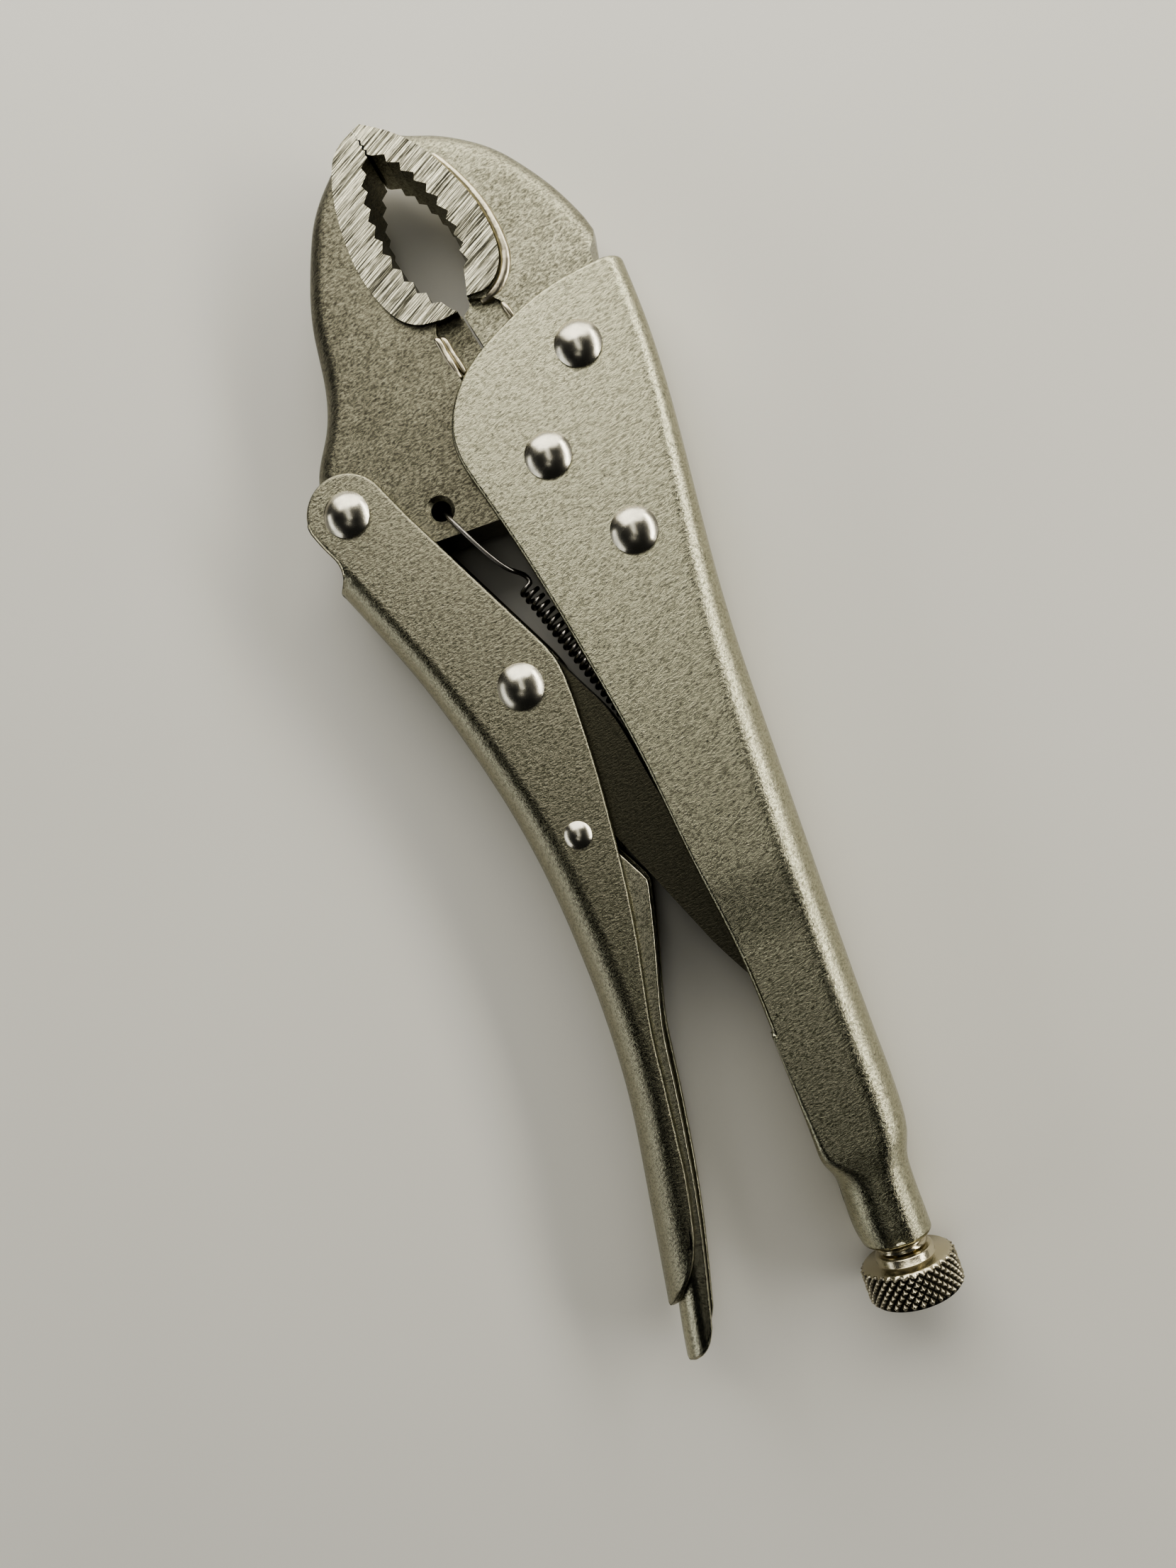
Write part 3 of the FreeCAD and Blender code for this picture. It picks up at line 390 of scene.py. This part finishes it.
def knurled(name, low, high):
    """Bright turned steel; on the knurled band painted shade darkens the hollows between the points, dark at
    low radius.
    """
    n = Nodes(name)
    separate = n.add("ShaderNodeSeparateXYZ")
    n.link(n.place, separate.inputs["Vector"])
    across = n.maths("SUBTRACT", separate.outputs["Y"], PIVOT[1] + SCREW_Y * MM)
    up = n.maths("SUBTRACT", separate.outputs["Z"], PIVOT[2])
    squares = n.maths("ADD", n.maths("MULTIPLY", across, across), n.maths("MULTIPLY", up, up))
    radius = n.maths("SQRT", squares, 0.0)
    # Painted shade: the colour darkens towards low radius, into the hollows between the knurl's points; in
    # front of the knurled band it stays nearly at full brightness.
    height = n.ramp(radius, low * MM, high * MM, 0.0, 1.0)
    speckle = n.maths("MULTIPLY", n.noise(1500.0, 2.0, 0.6), 0.3)
    plain = n.ramp(separate.outputs["X"], *(PIVOT[0] + x * MM for x in COLLAR_END), 0.9, 0.0)
    shade = n.maths("MINIMUM", n.maths("MAXIMUM", n.maths("SUBTRACT", height, speckle), plain), 1.0)
    n.link(n.blend(shade, (0.035, 0.031, 0.022), (0.62, 0.57, 0.43)), n.shader.inputs["Base Color"])
    n.link(n.ramp(shade, 0.0, 1.0, 0.5, 0.22), n.shader.inputs["Roughness"])
    n.link(n.bump(n.noise(2600.0, 2.0, 0.6), 0.3, 0.00008), n.shader.inputs["Normal"])
    n.shader.inputs["Metallic"].default_value = 1.0
    return n.material


def wire_metal(name):
    """Drawn spring wire, unevenly tarnished."""
    n = Nodes(name)
    tarnish = n.noise(300.0, 3.0, 0.6)
    n.link(n.blend(n.ramp(tarnish, 0.35, 0.7, 0.0, 1.0), (0.42, 0.40, 0.36), (0.22, 0.21, 0.19)),
           n.shader.inputs["Base Color"])
    n.link(n.ramp(tarnish, 0.2, 0.8, 0.22, 0.36), n.shader.inputs["Roughness"])
    n.link(n.bump(n.noise(3000.0, 1.0, 0.5), 0.15, 0.0001), n.shader.inputs["Normal"])
    n.shader.inputs["Metallic"].default_value = 1.0
    return n.material


def table_top(name):
    """A plain pale table with a faint haze."""
    n = Nodes(name)
    haze = n.noise(6.0, 3.0, 0.5)
    n.link(n.blend(n.ramp(haze, 0.3, 0.7, 0.0, 1.0), (0.79, 0.77, 0.695), (0.82, 0.80, 0.725)),
           n.shader.inputs["Base Color"])
    n.link(n.ramp(haze, 0.3, 0.7, 0.42, 0.5), n.shader.inputs["Roughness"])
    return n.material


SCREW_Y = 13.7  # the screw's axis above the pivot
COLLAR_END = (165.2, 165.4)  # where the knob's plain collar gives way to the knurled band
PAD_FACE = (0.00672, 0.00676)  # metres from the middle plane, just under the ground face at 6.8 mm
MILLING_TURN = 62.0  # degrees about Z
GRAIN_TURN = 74.0
HANDLE_METAL = nickel("handle_nickel")
# Painted shade: the lever's nickel is a darker copy of the handle's, the same plate made dimmer.
LEVER_METAL_PAINTED_SHADE = nickel("lever_nickel", (0.37, 0.355, 0.265), (0.09, 0.085, 0.06), 0.9, 0.19, 0.3)
RELEASE_METAL = nickel("release_nickel", (0.42, 0.405, 0.305), grain=0.6, roughness=0.15, cloud=0.2)
# Painted shade: the toggle link's nickel is made very dark to stand for the shadow between the handles.
LINK_METAL_PAINTED_SHADE = nickel("link_nickel", (0.12, 0.114, 0.082), (0.04, 0.037, 0.026), 0.8, 0.34, 0.3)
UPPER_JAW_METAL = jaw_metal("jaw_nickel_upper", (0.50, 0.485, 0.365), (0.12, 0.113, 0.08))
# Painted shade: the lower jaw's plate is a darker copy of the upper jaw's, the same plate made dimmer.
LOWER_JAW_METAL_PAINTED_SHADE = jaw_metal("jaw_nickel_lower_painted_shade", (0.29, 0.278, 0.205), (0.065, 0.06, 0.043))
RIVET_METAL = polished("rivet_polished", (0.60, 0.57, 0.47), 0.22)
KNOB_METAL = knurled("knob_bright", 8.55, 9.1)
SCREW_METAL = knurled("screw_bright", 4.0, 4.9)
WIRE_METAL = wire_metal("spring_wire")
RIDGE_METAL = polished("ridge_nickel", (0.60, 0.55, 0.42), 0.30, 0.4)


def dress_cad_nodes():
    """Materials for the pieces that keep their CAD meshes."""
    paint("fixed_jaw", UPPER_JAW_METAL)
    paint("moving_jaw", LOWER_JAW_METAL_PAINTED_SHADE)
    paint("toggle_link", LINK_METAL_PAINTED_SHADE)
    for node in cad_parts:
        if node.endswith("_rivet"):
            paint(node, RIVET_METAL)


def paint(node, material):
    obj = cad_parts[node]
    for slot in obj.material_slots:
        slot.material = material


# ------------------------------------------------------------------ fixed handle
# Rows are x, spine height, fold radius.
HANDLE_STATIONS = [
    (-31.6, 25.35, 4.0), (-20.0, 25.9, 4.0), (0.0, 25.2, 4.3), (20.0, 23.5, 5.0), (40.0, 22.2, 6.2),
    (60.0, 22.0, 6.9), (80.0, 22.0, 7.1), (92.5, 22.0, 7.0), (105.0, 22.0, 6.8), (122.0, 22.2, 6.8),
    (134.0, 22.4, 6.8), (141.0, 22.0, 6.8)]
# Rows are x, low edge, spine height, half width, fold radius, radius of the low corner.
TUBE_STATIONS = [
    (116.0, 3.65, 22.1, 7.1, 6.8, 0.35), (122.0, 3.95, 22.2, 7.1, 6.8, 0.5),
    (128.0, 4.2, 22.35, 7.1, 6.8, 0.8), (134.0, 4.4, 22.4, 7.1, 6.8, 1.2),
    (139.0, 4.5, 22.2, 7.1, 6.8, 1.7), (142.0, 4.65, 21.7, 7.1, 6.75, 2.6),
    (144.0, 5.2, 21.0, 6.95, 6.65, 4.0), (146.0, 5.85, 20.35, 6.75, 6.5, 5.4),
    (149.5, 6.1, 20.0, 6.65, 6.4, 6.3), (154.0, 6.0, 20.0, 6.65, 6.4, 6.4),
    (158.0, 6.3, 20.1, 6.65, 6.4, 6.4), (160.8, 7.0, 20.1, 6.45, 6.3, 6.2)]
HANDLE_EDGE = [(-9.0, -16.4), (0.9, -14.8), (20.6, -9.7), (40.4, -5.6), (60.1, -2.1), (80.0, 0.3),
               (99.0, 2.9), (118.5, 4.1), (142.0, 4.6)]
HANDLE_FRONT = [(-31.6, 21.0), (-30.2, 10.0), (-26.7, 0.2), (-20.8, -9.7), (-15.9, -13.9)]
HANDLE_START = -31.6
HANDLE_END = 160.8
WIDE_HALF = 7.95
SLIM_HALF = 7.1
FLAT_END = 84.0  # the cheeks are flat plates as far as this
TUBE_START = 116.0  # the low edges begin to turn in here
SEAM_HALF = 0.25
RIB_STEPS = 16
BEND_STEPS = 10
CLOSE_EDGE = 0.4  # outline points nearer than this to a corner are left out


def station_lines(stations):
    """One spline over x for each further column of a table of stations."""
    xs = [row[0] for row in stations]
    return [spline(xs, [row[i] for row in stations]) for i in range(1, len(stations[0]))]


def ease(x, low, high):
    """0 below low, 1 above high, and a smooth step between."""
    t = min(max((x - low) / (high - low), 0.0), 1.0)
    return t * t * (3 - 2 * t)


def handle_sheet(x):
    """The handle's sheet is 2 mm, and thins where it is swaged into a tube round the screw."""
    return 2.0 * (1 - 0.24 * ease(x, 141.0, 150.0))


def tube_side(x, lines):
    """The cheek from the fold to the lower corner, and the bend from there in to the seam, in pairs."""
    low, high, half, top_round, low_round = (line(x) for line in lines)
    skins = []
    for inset in (0.0, handle_sheet(x)):
        z = half - inset
        corner = low + max(low_round, inset)
        radius = max(low_round - inset, 0.0)
        skin = [(x, y, z) for y in np.linspace(high - top_round, corner, RIB_STEPS + 1)]
        for i in range(1, BEND_STEPS + 1):
            a = math.radians(90 * i / BEND_STEPS)
            skin.append((x, corner - radius * math.sin(a), z - radius * (1 - math.cos(a))))
        to_seam = np.linspace(z - radius, SEAM_HALF, 6)[1:]
        skins.append(skin + [(x, corner - radius, at_z) for at_z in to_seam])
    pairs = list(zip(*skins))
    return pairs[:RIB_STEPS + 1], pairs[RIB_STEPS:]


def handle_half(x):
    """Half the handle's width: it narrows once, behind the lug."""
    return WIDE_HALF - (WIDE_HALF - SLIM_HALF) * ease(x, 84.5, 100.5)


def make_fixed_handle():
    """Flat cheeks with a folded web in front, a narrowing channel, and a tube round the screw."""
    spine, corner = station_lines(HANDLE_STATIONS)
    channel = {"spine": spine, "corner": corner, "half": handle_half, "side": 1, "sheet": handle_sheet}
    edge_line = smooth(HANDLE_FRONT + HANDLE_EDGE, 1.0)
    edge_x = [p[0] for p in edge_line]
    edge_y = [p[1] for p in edge_line]
    shell = Shell(handle_sheet)
    flat = columns(HANDLE_START, FLAT_END)
    shell.grid([web_row(x, channel) for x in flat])
    fold = [(x, fold_y(x, channel)) for x in flat]
    last_y = float(np.interp(FLAT_END, edge_x, edge_y))
    rib_end = (FLAT_END, last_y)
    rib = straight(fold[-1], rib_end, math.dist(fold[-1], rib_end) / RIB_STEPS)
    open_edge = [p for p in edge_line if p[0] < FLAT_END - CLOSE_EDGE]
    outline = fold + rib[1:] + list(reversed(open_edge))
    for sign in (1, -1):
        shell.plate(outline, WIDE_HALF, sign)
    rows = []
    for x in columns(FLAT_END, TUBE_START)[:-1]:
        y_open = float(np.interp(x, edge_x, edge_y))
        side = []
        for i in range(RIB_STEPS + 1):
            y = fold_y(x, channel) + (y_open - fold_y(x, channel)) * i / RIB_STEPS
            side.append(((x, y, handle_half(x)), (x, y, handle_half(x) - handle_sheet(x))))
        rows.append(whole_row(side, web_row(x, channel)))
    lines = station_lines(TUBE_STATIONS)
    tube = {"spine": lines[1], "corner": lines[3], "half": lines[2], "side": 1, "sheet": handle_sheet}
    bends = []
    for x in columns(TUBE_START, HANDLE_END, 0.7):
        side, bend = tube_side(x, lines)
        rows.append(whole_row(side, web_row(x, tube)))
        bends.append(bend)
    shell.grid(rows)
    shell.grid(bends)
    shell.grid([[mirrored(pair) for pair in bend] for bend in bends])
    obj = finish_sheet(shell, "handle_shell", 0.75, HANDLE_METAL, "handle", "fixed_handle")


def whole_row(side, web):
    """A row from one open edge over the web to the other, out of its three stretches."""
    return list(reversed(side)) + web[1:-1] + [mirrored(pair) for pair in side]


def mirrored(pair):
    """The same pair of points on the other side of the middle plane."""
    return tuple((x, y, -z) for x, y, z in pair)


# ------------------------------------------------------------------ lever
# Rows are x, web height, fold radius.
LEVER_STATIONS = [
    (-16.0, -59.5, 6.0), (-4.0, -54.2, 6.0), (10.0, -47.7, 6.0), (20.0, -43.3, 6.0), (30.0, -39.2, 6.1),
    (40.0, -35.8, 6.3), (50.0, -32.9, 6.6), (60.0, -30.4, 6.9), (70.0, -28.5, 7.1), (80.0, -27.2, 7.3),
    (90.0, -26.4, 7.4), (100.0, -25.9, 7.4), (110.0, -25.9, 7.4), (120.0, -26.4, 7.4), (130.0, -27.6, 7.4),
    (140.0, -29.1, 7.4), (150.0, -30.6, 7.4), (162.0, -32.4, 7.4)]
LEVER_HALF = 7.75
LEVER_SHEET = 1.8
LEVER_PIVOT = (-3.3, -40.5)
LEVER_EAR = 8.3
LEVER_TOP = [(0.9, -29.4), (30.5, -13.9), (34.2, -12.1), (37.6, -11.05), (42.0, -10.6), (50.3, -10.6),
             (60.1, -10.9), (70.0, -11.6), (79.9, -12.5), (89.7, -13.8), (99.0, -15.4), (108.7, -17.1),
             (118.4, -18.1), (128.0, -19.1), (137.8, -20.2), (147.6, -22.2)]
LEVER_END = [(147.6, -22.2), (152.4, -24.2), (155.0, -26.0), (157.6, -28.4), (159.6, -30.6), (160.6, -32.0)]
LEVER_UNDER = [(2.6, -46.6), (5.0, -45.5), (8.0, -45.8), (9.6, -47.4)]

RELEASE_STATIONS = [
    (60.0, -27.6, 4.4), (68.0, -26.6, 4.6), (80.0, -25.05, 5.0), (90.0, -24.25, 5.2), (100.0, -23.8, 5.3),
    (110.0, -23.8, 5.3), (120.0, -24.3, 5.3), (130.0, -25.5, 5.3), (140.0, -27.0, 5.3), (150.0, -28.5, 5.3),
    (160.0, -30.2, 5.3), (166.0, -31.3, 5.3), (172.0, -32.2, 5.3)]
RELEASE_HALF = 5.7
RELEASE_SHEET = 1.4
RELEASE_PIVOT = (69.6, -18.2)
RELEASE_EAR = 4.6
RELEASE_NOSE = [(83.2, -8.9), (81.7, -8.75), (80.3, -9.4), (74.6, -12.6)]
RELEASE_TOP = [(83.2, -8.9), (90.0, -10.4), (99.5, -12.8), (109.0, -15.1), (119.0, -16.4), (129.0, -17.7),
               (139.0, -19.2), (149.0, -21.1), (159.0, -23.4), (165.6, -25.0)]
RELEASE_END = [(165.6, -25.0), (168.4, -26.5), (170.3, -28.9), (171.3, -31.6)]
RELEASE_UNDER = [(73.5, -23.2), (76.5, -25.0), (77.5, -27.0)]
EAR_START = 182  # degrees of the ears' rims where they run into the free edges
EAR_END = 275


def eared_channel(stations, half, sheet, ear, under, top, end, crown):
    """The skin of a channel whose cheeks run forward of its web into round ears.

    under is the free edge from the ear to the web's front, top the cheeks' free edge from the ear
    to the rear, end the rear's rounded corner and crown the run of points from ear to top."""
    channel = {
        "spine": spline([s[0] for s in stations], [s[1] for s in stations]),
        "corner": spline([s[0] for s in stations], [s[2] for s in stations]),
        "half": lambda x: half,
        "side": -1,
        "sheet": lambda x: sheet,
    }
    centre, radius = ear
    shell = Shell(channel["sheet"])
    low_line = chain(round_arc(centre, radius, EAR_START, EAR_END),
                     smooth([round_arc(centre, radius, EAR_END + 1, EAR_END + 2)[0]] + under, 0.8))
    low_x = [p[0] for p in low_line]
    low_y = [p[1] for p in low_line]
    web_start = under[-1][0]
    meeting = crossing(columns(centre[0] - radius * 0.8, centre[0], 0.05), channel, low_x, low_y)
    partial = columns(meeting, web_start, 0.9)
    trimmed = [trim_angle(x, float(np.interp(x, low_x, low_y)), channel) for x in partial[1:-1]]
    angles = [0.0] + trimmed + [90.0]
    for sign in (1, -1):
        shell.grid([part_row(x, channel, angle, sign) for x, angle in zip(partial, angles)])
    end_line = smooth(end, 0.6)
    end_x = [p[0] for p in end_line]
    end_y = [p[1] for p in end_line]
    leaving = crossing(columns(end_x[0], end_x[-1], 0.05), channel, end_x, end_y)
    full = columns(web_start, leaving)
    closing = columns(leaving, end_x[-1], 0.6)[1:]
    rows = [web_row(x, channel) for x in full]
    rows += [web_row(x, channel, trim_angle(x, float(np.interp(x, end_x, end_y)), channel)) for x in closing]
    shell.grid(rows)
    fold = [(x, fold_y(x, channel)) for x in partial + full[1:]]
    rear = [p for p in end_line if p[0] < leaving - CLOSE_EDGE]
    ear_line = [p for p in round_arc(centre, radius, EAR_START, EAR_END) if p[0] < meeting - 0.3]
    free = chain(list(reversed(rear)), list(reversed(top)), crown, ear_line)
    outline = fold + [p for p in free if min(math.dist(p, fold[0]), math.dist(p, fold[-1])) > CLOSE_EDGE]
    for sign in (1, -1):
        shell.plate(outline, half, sign)
    return shell


def crossing(xs, channel, line_x, line_y):
    """The first x at which the trimming line crosses the start of the fold."""
    for x in xs:
        gap = float(np.interp(x, line_x, line_y)) - fold_y(x, channel)
        if gap < 0:
            return x
    return xs[-1]


def make_lever():
    crown = chain([LEVER_TOP[0]], round_arc(LEVER_PIVOT, LEVER_EAR, 112, EAR_START))
    top = chain(straight(LEVER_TOP[0], LEVER_TOP[1]), smooth(LEVER_TOP[1:]))
    shell = eared_channel(LEVER_STATIONS, LEVER_HALF, LEVER_SHEET, (LEVER_PIVOT, LEVER_EAR), LEVER_UNDER,
                          top, LEVER_END, crown)
    obj = finish_sheet(shell, "lever_shell", 0.65, LEVER_METAL_PAINTED_SHADE, "lever_body", "lever")


def make_release_lever():
    crown = chain(RELEASE_NOSE, round_arc(RELEASE_PIVOT, RELEASE_EAR, 74, EAR_START))
    shell = eared_channel(RELEASE_STATIONS, RELEASE_HALF, RELEASE_SHEET, (RELEASE_PIVOT, RELEASE_EAR),
                          RELEASE_UNDER, smooth(RELEASE_TOP), RELEASE_END, crown)
    obj = finish_sheet(shell, "release_shell", 0.5, RELEASE_METAL, "release", "release_lever")


# ------------------------------------------------------------------ screw and knob
def lathe(name, rings, around, material, shape=None):
    """A surface about the screw's axis through rings of (x, radius), closed at both ends."""
    vertices = []
    for x, radius in rings:
        for i in range(around):
            angle = 2 * math.pi * i / around
            r = shape(x, radius, angle) if shape else radius
            vertices.append((x, SCREW_Y + r * math.cos(angle), r * math.sin(angle)))
    return mesh_object(name, vertices, ring_faces(len(rings), around), material)


def ring_faces(rings, around):
    """Faces between rings of as many points each, and the two end faces."""
    faces = []
    for row in range(rings - 1):
        for i in range(around):
            a = row * around + i
            b = row * around + (i + 1) % around
            faces.append((a, b, b + around, a + around))
    faces.append(tuple(range(around)))
    faces.append(tuple(range((rings - 1) * around, rings * around)))
    return faces


def make_screw():
    """The adjusting screw, with its thread cut from behind the tip to the neck before the knob."""
    pitch = 1.5
    tip, neck = 117.2, 162.8
    major, depth = 4.95, 0.82
    steps = 10

    def thread(x, radius, angle):
        if not tip + 1.2 < x < neck - 0.4 or radius < major:
            return radius
        turn = (x / pitch - angle / (2 * math.pi)) % 1.0
        wave = abs(turn - 0.5) * 2
        return major - depth * min(max((wave - 0.12) / 0.76, 0.0), 1.0)

    rings = [(tip, 3.2), (tip + 0.5, 4.2), (tip + 1.2, 4.6)]
    rings += [(x, major) for x in columns(tip + 1.4, neck - 0.4, pitch / steps)]
    rings += [(neck, 4.15), (neck + 0.01, 3.5), (170.0, 3.5)]
    obj = lathe("screw_thread", rings, 72, SCREW_METAL, thread)
    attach(obj, "screw")
    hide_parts("adjusting_screw")


def make_knob():
    """The knob: a plain collar and a band of diamond knurling between two chamfers."""
    start, end, radius = 164.7, 171.6, 9.15
    chamfer = 0.75
    diamonds = 32
    lead = 1.75
    depth = 0.6

    def knurl(x, r, angle):
        if r < radius - 0.01:
            return r
        turn = angle * diamonds / (2 * math.pi)
        pits = [abs(((turn + sign * x / lead) % 1.0) - 0.5) * 2 for sign in (1, -1)]
        return r - depth * max(max(pits) - 0.22, 0.0) / 0.78

    rings = [(163.1, 3.55), (163.1, 5.3), (163.35, 5.6), (164.62, 5.6), (start, 5.75), (start, 8.2),
             (start + 0.12, 8.4)]
    rings += [(x, radius) for x in columns(start + chamfer, end - chamfer, 0.12)]
    rings += [(end - 0.12, 8.4), (end, 8.2), (end, 3.0), (end, 0.4)]
    obj = lathe("knob_knurled", rings, diamonds * 16, KNOB_METAL, knurl)
    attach(obj, "knob")
    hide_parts("adjusting_knob")


# ------------------------------------------------------------------ return spring
def tube_along(name, points, radii, around, material):
    """A round wire along points, one radius to each, its rings carried on without twist."""
    line = [Vector(p) for p in points]
    vertices = []
    normal = None
    for i, here in enumerate(line):
        tangent = (line[min(i + 1, len(line) - 1)] - line[max(i - 1, 0)]).normalized()
        if normal is None:
            normal = tangent.orthogonal()
        normal = (normal - tangent * normal.dot(tangent)).normalized()
        across = tangent.cross(normal)
        for k in range(around):
            a = 2 * math.pi * k / around
            vertices.append(tuple(here + (normal * math.cos(a) + across * math.sin(a)) * radii[i]))
    return mesh_object(name, vertices, ring_faces(len(line), around), material)


def make_spring():
    """The close coil, its front hook through the moving jaw's hole and its rear hook in the lug."""
    wire, coil, pitch = 0.46, 1.5, 1.66
    jaw_half, clearance, hole_radius = 5.8, 0.06, 2.0
    start, end = Vector((21.0, -12.7, 1.9)), Vector((57.0, 0.1, 0.8))
    axis = end - start
    direction = axis.normalized()
    turns = math.floor(axis.length / pitch)
    rotation = Vector((0, 0, 1)).rotation_difference(axis).to_matrix() @ Matrix.Rotation(math.pi, 3, "Z")
    per_turn = 20
    loops = []
    for i in range(turns * per_turn + 1):
        a = 2 * math.pi * i / per_turn
        local = Vector((coil * math.cos(a), coil * math.sin(a), pitch * i / per_turn))
        loops.append(start + rotation @ local)
    tangent = (rotation @ Vector((0, 2 * math.pi * coil, pitch))).normalized()
    rise = jaw_half + wire + clearance
    grip = Vector((1.8, -23.3, 0)) + Vector((0.86, 0.5, 0)) * (hole_radius - wire - clearance)
    front = [grip + Vector((3.4, 2.0, -rise)), grip + Vector((0, 0, -rise)), grip + Vector((0, 0, rise)),
             Vector((16.6, -15.2, rise)), loops[0] - tangent - direction * 1.6, loops[0] - tangent * 0.5]
    lug = Vector((82.6, 12.8, 0))
    rear = [loops[-1] + tangent * 0.5, loops[-1] + tangent + direction * 1.6, lug + Vector((-2.5, -1.3, 1.8)),
            lug + Vector((0, 0, 1.6)), lug + Vector((0, 0, -1.7)), lug + Vector((-4.0, -2.0, -1.9))]
    lead_in = smooth([tuple(p) for p in rounded(front) + [loops[0]]], 0.35)
    lead_out = smooth([tuple(p) for p in [loops[-1]] + rounded(rear)], 0.35)
    points = lead_in[:-1] + [tuple(p) for p in loops] + lead_out[1:]
    obj = tube_along("spring_coil", points, [wire] * len(points), 12, WIRE_METAL)
    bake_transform(obj)
    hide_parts("return_spring")


def rounded(points, share=0.25, longest=1.2):
    """The same line with each corner replaced by two points a little before and after it."""
    result = [points[0]]
    for before, here, after in zip(points, points[1:], points[2:]):
        for other in (before, after):
            step = other - here
            result.append(here + step * (min(share * step.length, longest) / step.length))
    result.append(points[-1])
    return result


# ------------------------------------------------------------------ raised lines of the forgings
def make_ridge(name, spine, body, material):
    """A smooth raised line on both sides of a jaw through points (x, y, height above z = 0, radius)."""
    line = smooth(spine, 0.4)
    for sign, side in ((1, "front"), (-1, "rear")):
        points = [(x, y, sign * (top - radius)) for x, y, top, radius in line]
        obj = tube_along(f"{name}_{side}", points, [radius for x, y, top, radius in line], 16, material)
        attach(obj, body)


# Name and body, and points of x, y, height of the top above the middle plane, radius.
RIDGES = {
    ("upper_ridge", "handle"): [
        (-66.4, -4.1, 4.9, 0.3), (-63.7, -2.2, 5.8, 0.6), (-59.6, 0.1, 6.3, 0.75), (-55.1, 2.2, 6.4, 0.85),
        (-50.8, 3.7, 6.45, 0.95), (-46.5, 4.6, 6.45, 1.05), (-42.5, 4.9, 6.45, 1.15),
        (-39.0, 4.45, 6.45, 1.25), (-36.4, 3.1, 6.4, 1.3), (-34.5, 1.0, 6.3, 1.2), (-33.8, -1.0, 5.9, 0.95),
        (-33.6, -2.6, 5.2, 0.6)],
    ("lower_lip", "jaw"): [
        (-29.9, -13.8, 5.4, 0.4), (-29.5, -13.2, 6.05, 0.75), (-27.3, -12.65, 6.1, 0.8),
        (-23.6, -11.82, 6.1, 0.75), (-22.6, -11.58, 5.85, 0.55), (-20.7, -11.15, 5.85, 0.5)],
    ("lower_step", "jaw"): [
        (-30.0, -12.6, 5.0, 0.4), (-29.4, -12.0, 5.45, 0.65), (-27.6, -11.5, 5.5, 0.7),
        (-23.4, -10.5, 5.45, 0.65), (-21.6, -10.1, 5.2, 0.5)],
    ("upper_bar", "handle"): [
        (-31.8, 1.0, 5.6, 0.45), (-30.6, 1.45, 6.15, 0.7), (-29.2, 1.9, 6.2, 0.7), (-28.2, 2.2, 5.8, 0.6),
        (-27.2, 2.5, 5.5, 0.5)],
}


def make_ridges():
    for (name, body), spine in RIDGES.items():
        make_ridge(name, spine, body, RIDGE_METAL)


# ------------------------------------------------------------------ stage, light and camera
def make_stage():
    """A pale table, large enough to fill the view."""
    size = 1.5
    mesh = bpy.data.meshes.new("table")
    corners = [(-size, -size, 0.0), (size, -size, 0.0), (size, size, 0.0), (-size, size, 0.0)]
    mesh.from_pydata(corners, [], [(0, 1, 2, 3)])
    mesh.materials.append(table_top("table_top"))
    table = bpy.data.objects.new("table", mesh)
    bpy.context.scene.collection.objects.link(table)


def soft_box(name, place, size, power, colour, target=(0.0, 0.0, 0.0)):
    """A rectangular light at place, in metres, that faces target."""
    light = bpy.data.lights.new(name, "AREA")
    light.shape = "RECTANGLE"
    light.size, light.size_y = size
    light.energy = power
    light.color = colour
    obj = bpy.data.objects.new(name, light)
    obj.location = place
    obj.rotation_euler = (Vector(target) - Vector(place)).to_track_quat("-Z", "Y").to_euler()
    bpy.context.scene.collection.objects.link(obj)


def make_light():
    """A large window beyond the jaws and a long low wall light beyond the fixed handle.

    A weak fill on the lever's side and two small soft lights from above lift the shadows."""
    world = bpy.data.worlds.new("studio")
    bpy.context.scene.world = world
    world.use_nodes = True
    world.node_tree.nodes["Background"].inputs["Color"].default_value = (0.95, 0.97, 1.0, 1.0)
    world.node_tree.nodes["Background"].inputs["Strength"].default_value = 0.025
    soft_box("window", (-0.80, 0.15, 0.60), (1.3, 1.0), 10.0, (1.0, 0.98, 0.94), (-0.1, 0.15, 0.45))
    soft_box("wall", (-0.1, 0.80, 0.45), (1.4, 0.18), 5.6, (1.0, 0.98, 0.94), (-0.1, 0.0, 0.42))
    soft_box("fill", (0.05, -0.90, 0.32), (1.2, 0.25), 1.6, (0.98, 0.99, 1.0))
    soft_box("ceiling", (-0.25, 0.0, 1.10), (0.24, 0.9), 0.85, (1.0, 0.99, 0.95))
    soft_box("lamp", (0.38, -0.20, 1.10), (0.3, 0.15), 0.15, (1.0, 0.99, 0.95), (0.08, 0.0, 0.0))


SENSOR_HEIGHT = 24.0  # millimetres
FOCAL_PIXELS = 1700.0
IMAGE_HEIGHT = 2212.0


def make_camera():
    """The photograph's view: close above the tool, a little off square, the jaws at the top."""
    camera = bpy.data.cameras.new("camera")
    camera.sensor_fit = "VERTICAL"
    camera.sensor_height = SENSOR_HEIGHT
    camera.lens = SENSOR_HEIGHT * FOCAL_PIXELS / IMAGE_HEIGHT
    camera.clip_start = 0.01
    obj = bpy.data.objects.new("camera", camera)
    right = Vector((0.32627, 0.93726, -0.12288)).normalized()
    back = Vector((0.03707, 0.11721, 0.99241)).normalized()
    up = back.cross(right).normalized()
    turn = Matrix((right, up, back)).transposed()
    obj.matrix_world = Matrix.Translation(Vector(at(69.51, 13.31, 233.0))) @ turn.to_4x4()
    bpy.context.scene.collection.objects.link(obj)
    bpy.context.scene.camera = obj


dress_cad_nodes()
make_fixed_handle()
make_lever()
make_release_lever()
make_screw()
make_knob()
make_spring()
make_ridges()
make_stage()
make_light()
bpy.context.scene.view_settings.look = "AgX - High Contrast"
make_camera()
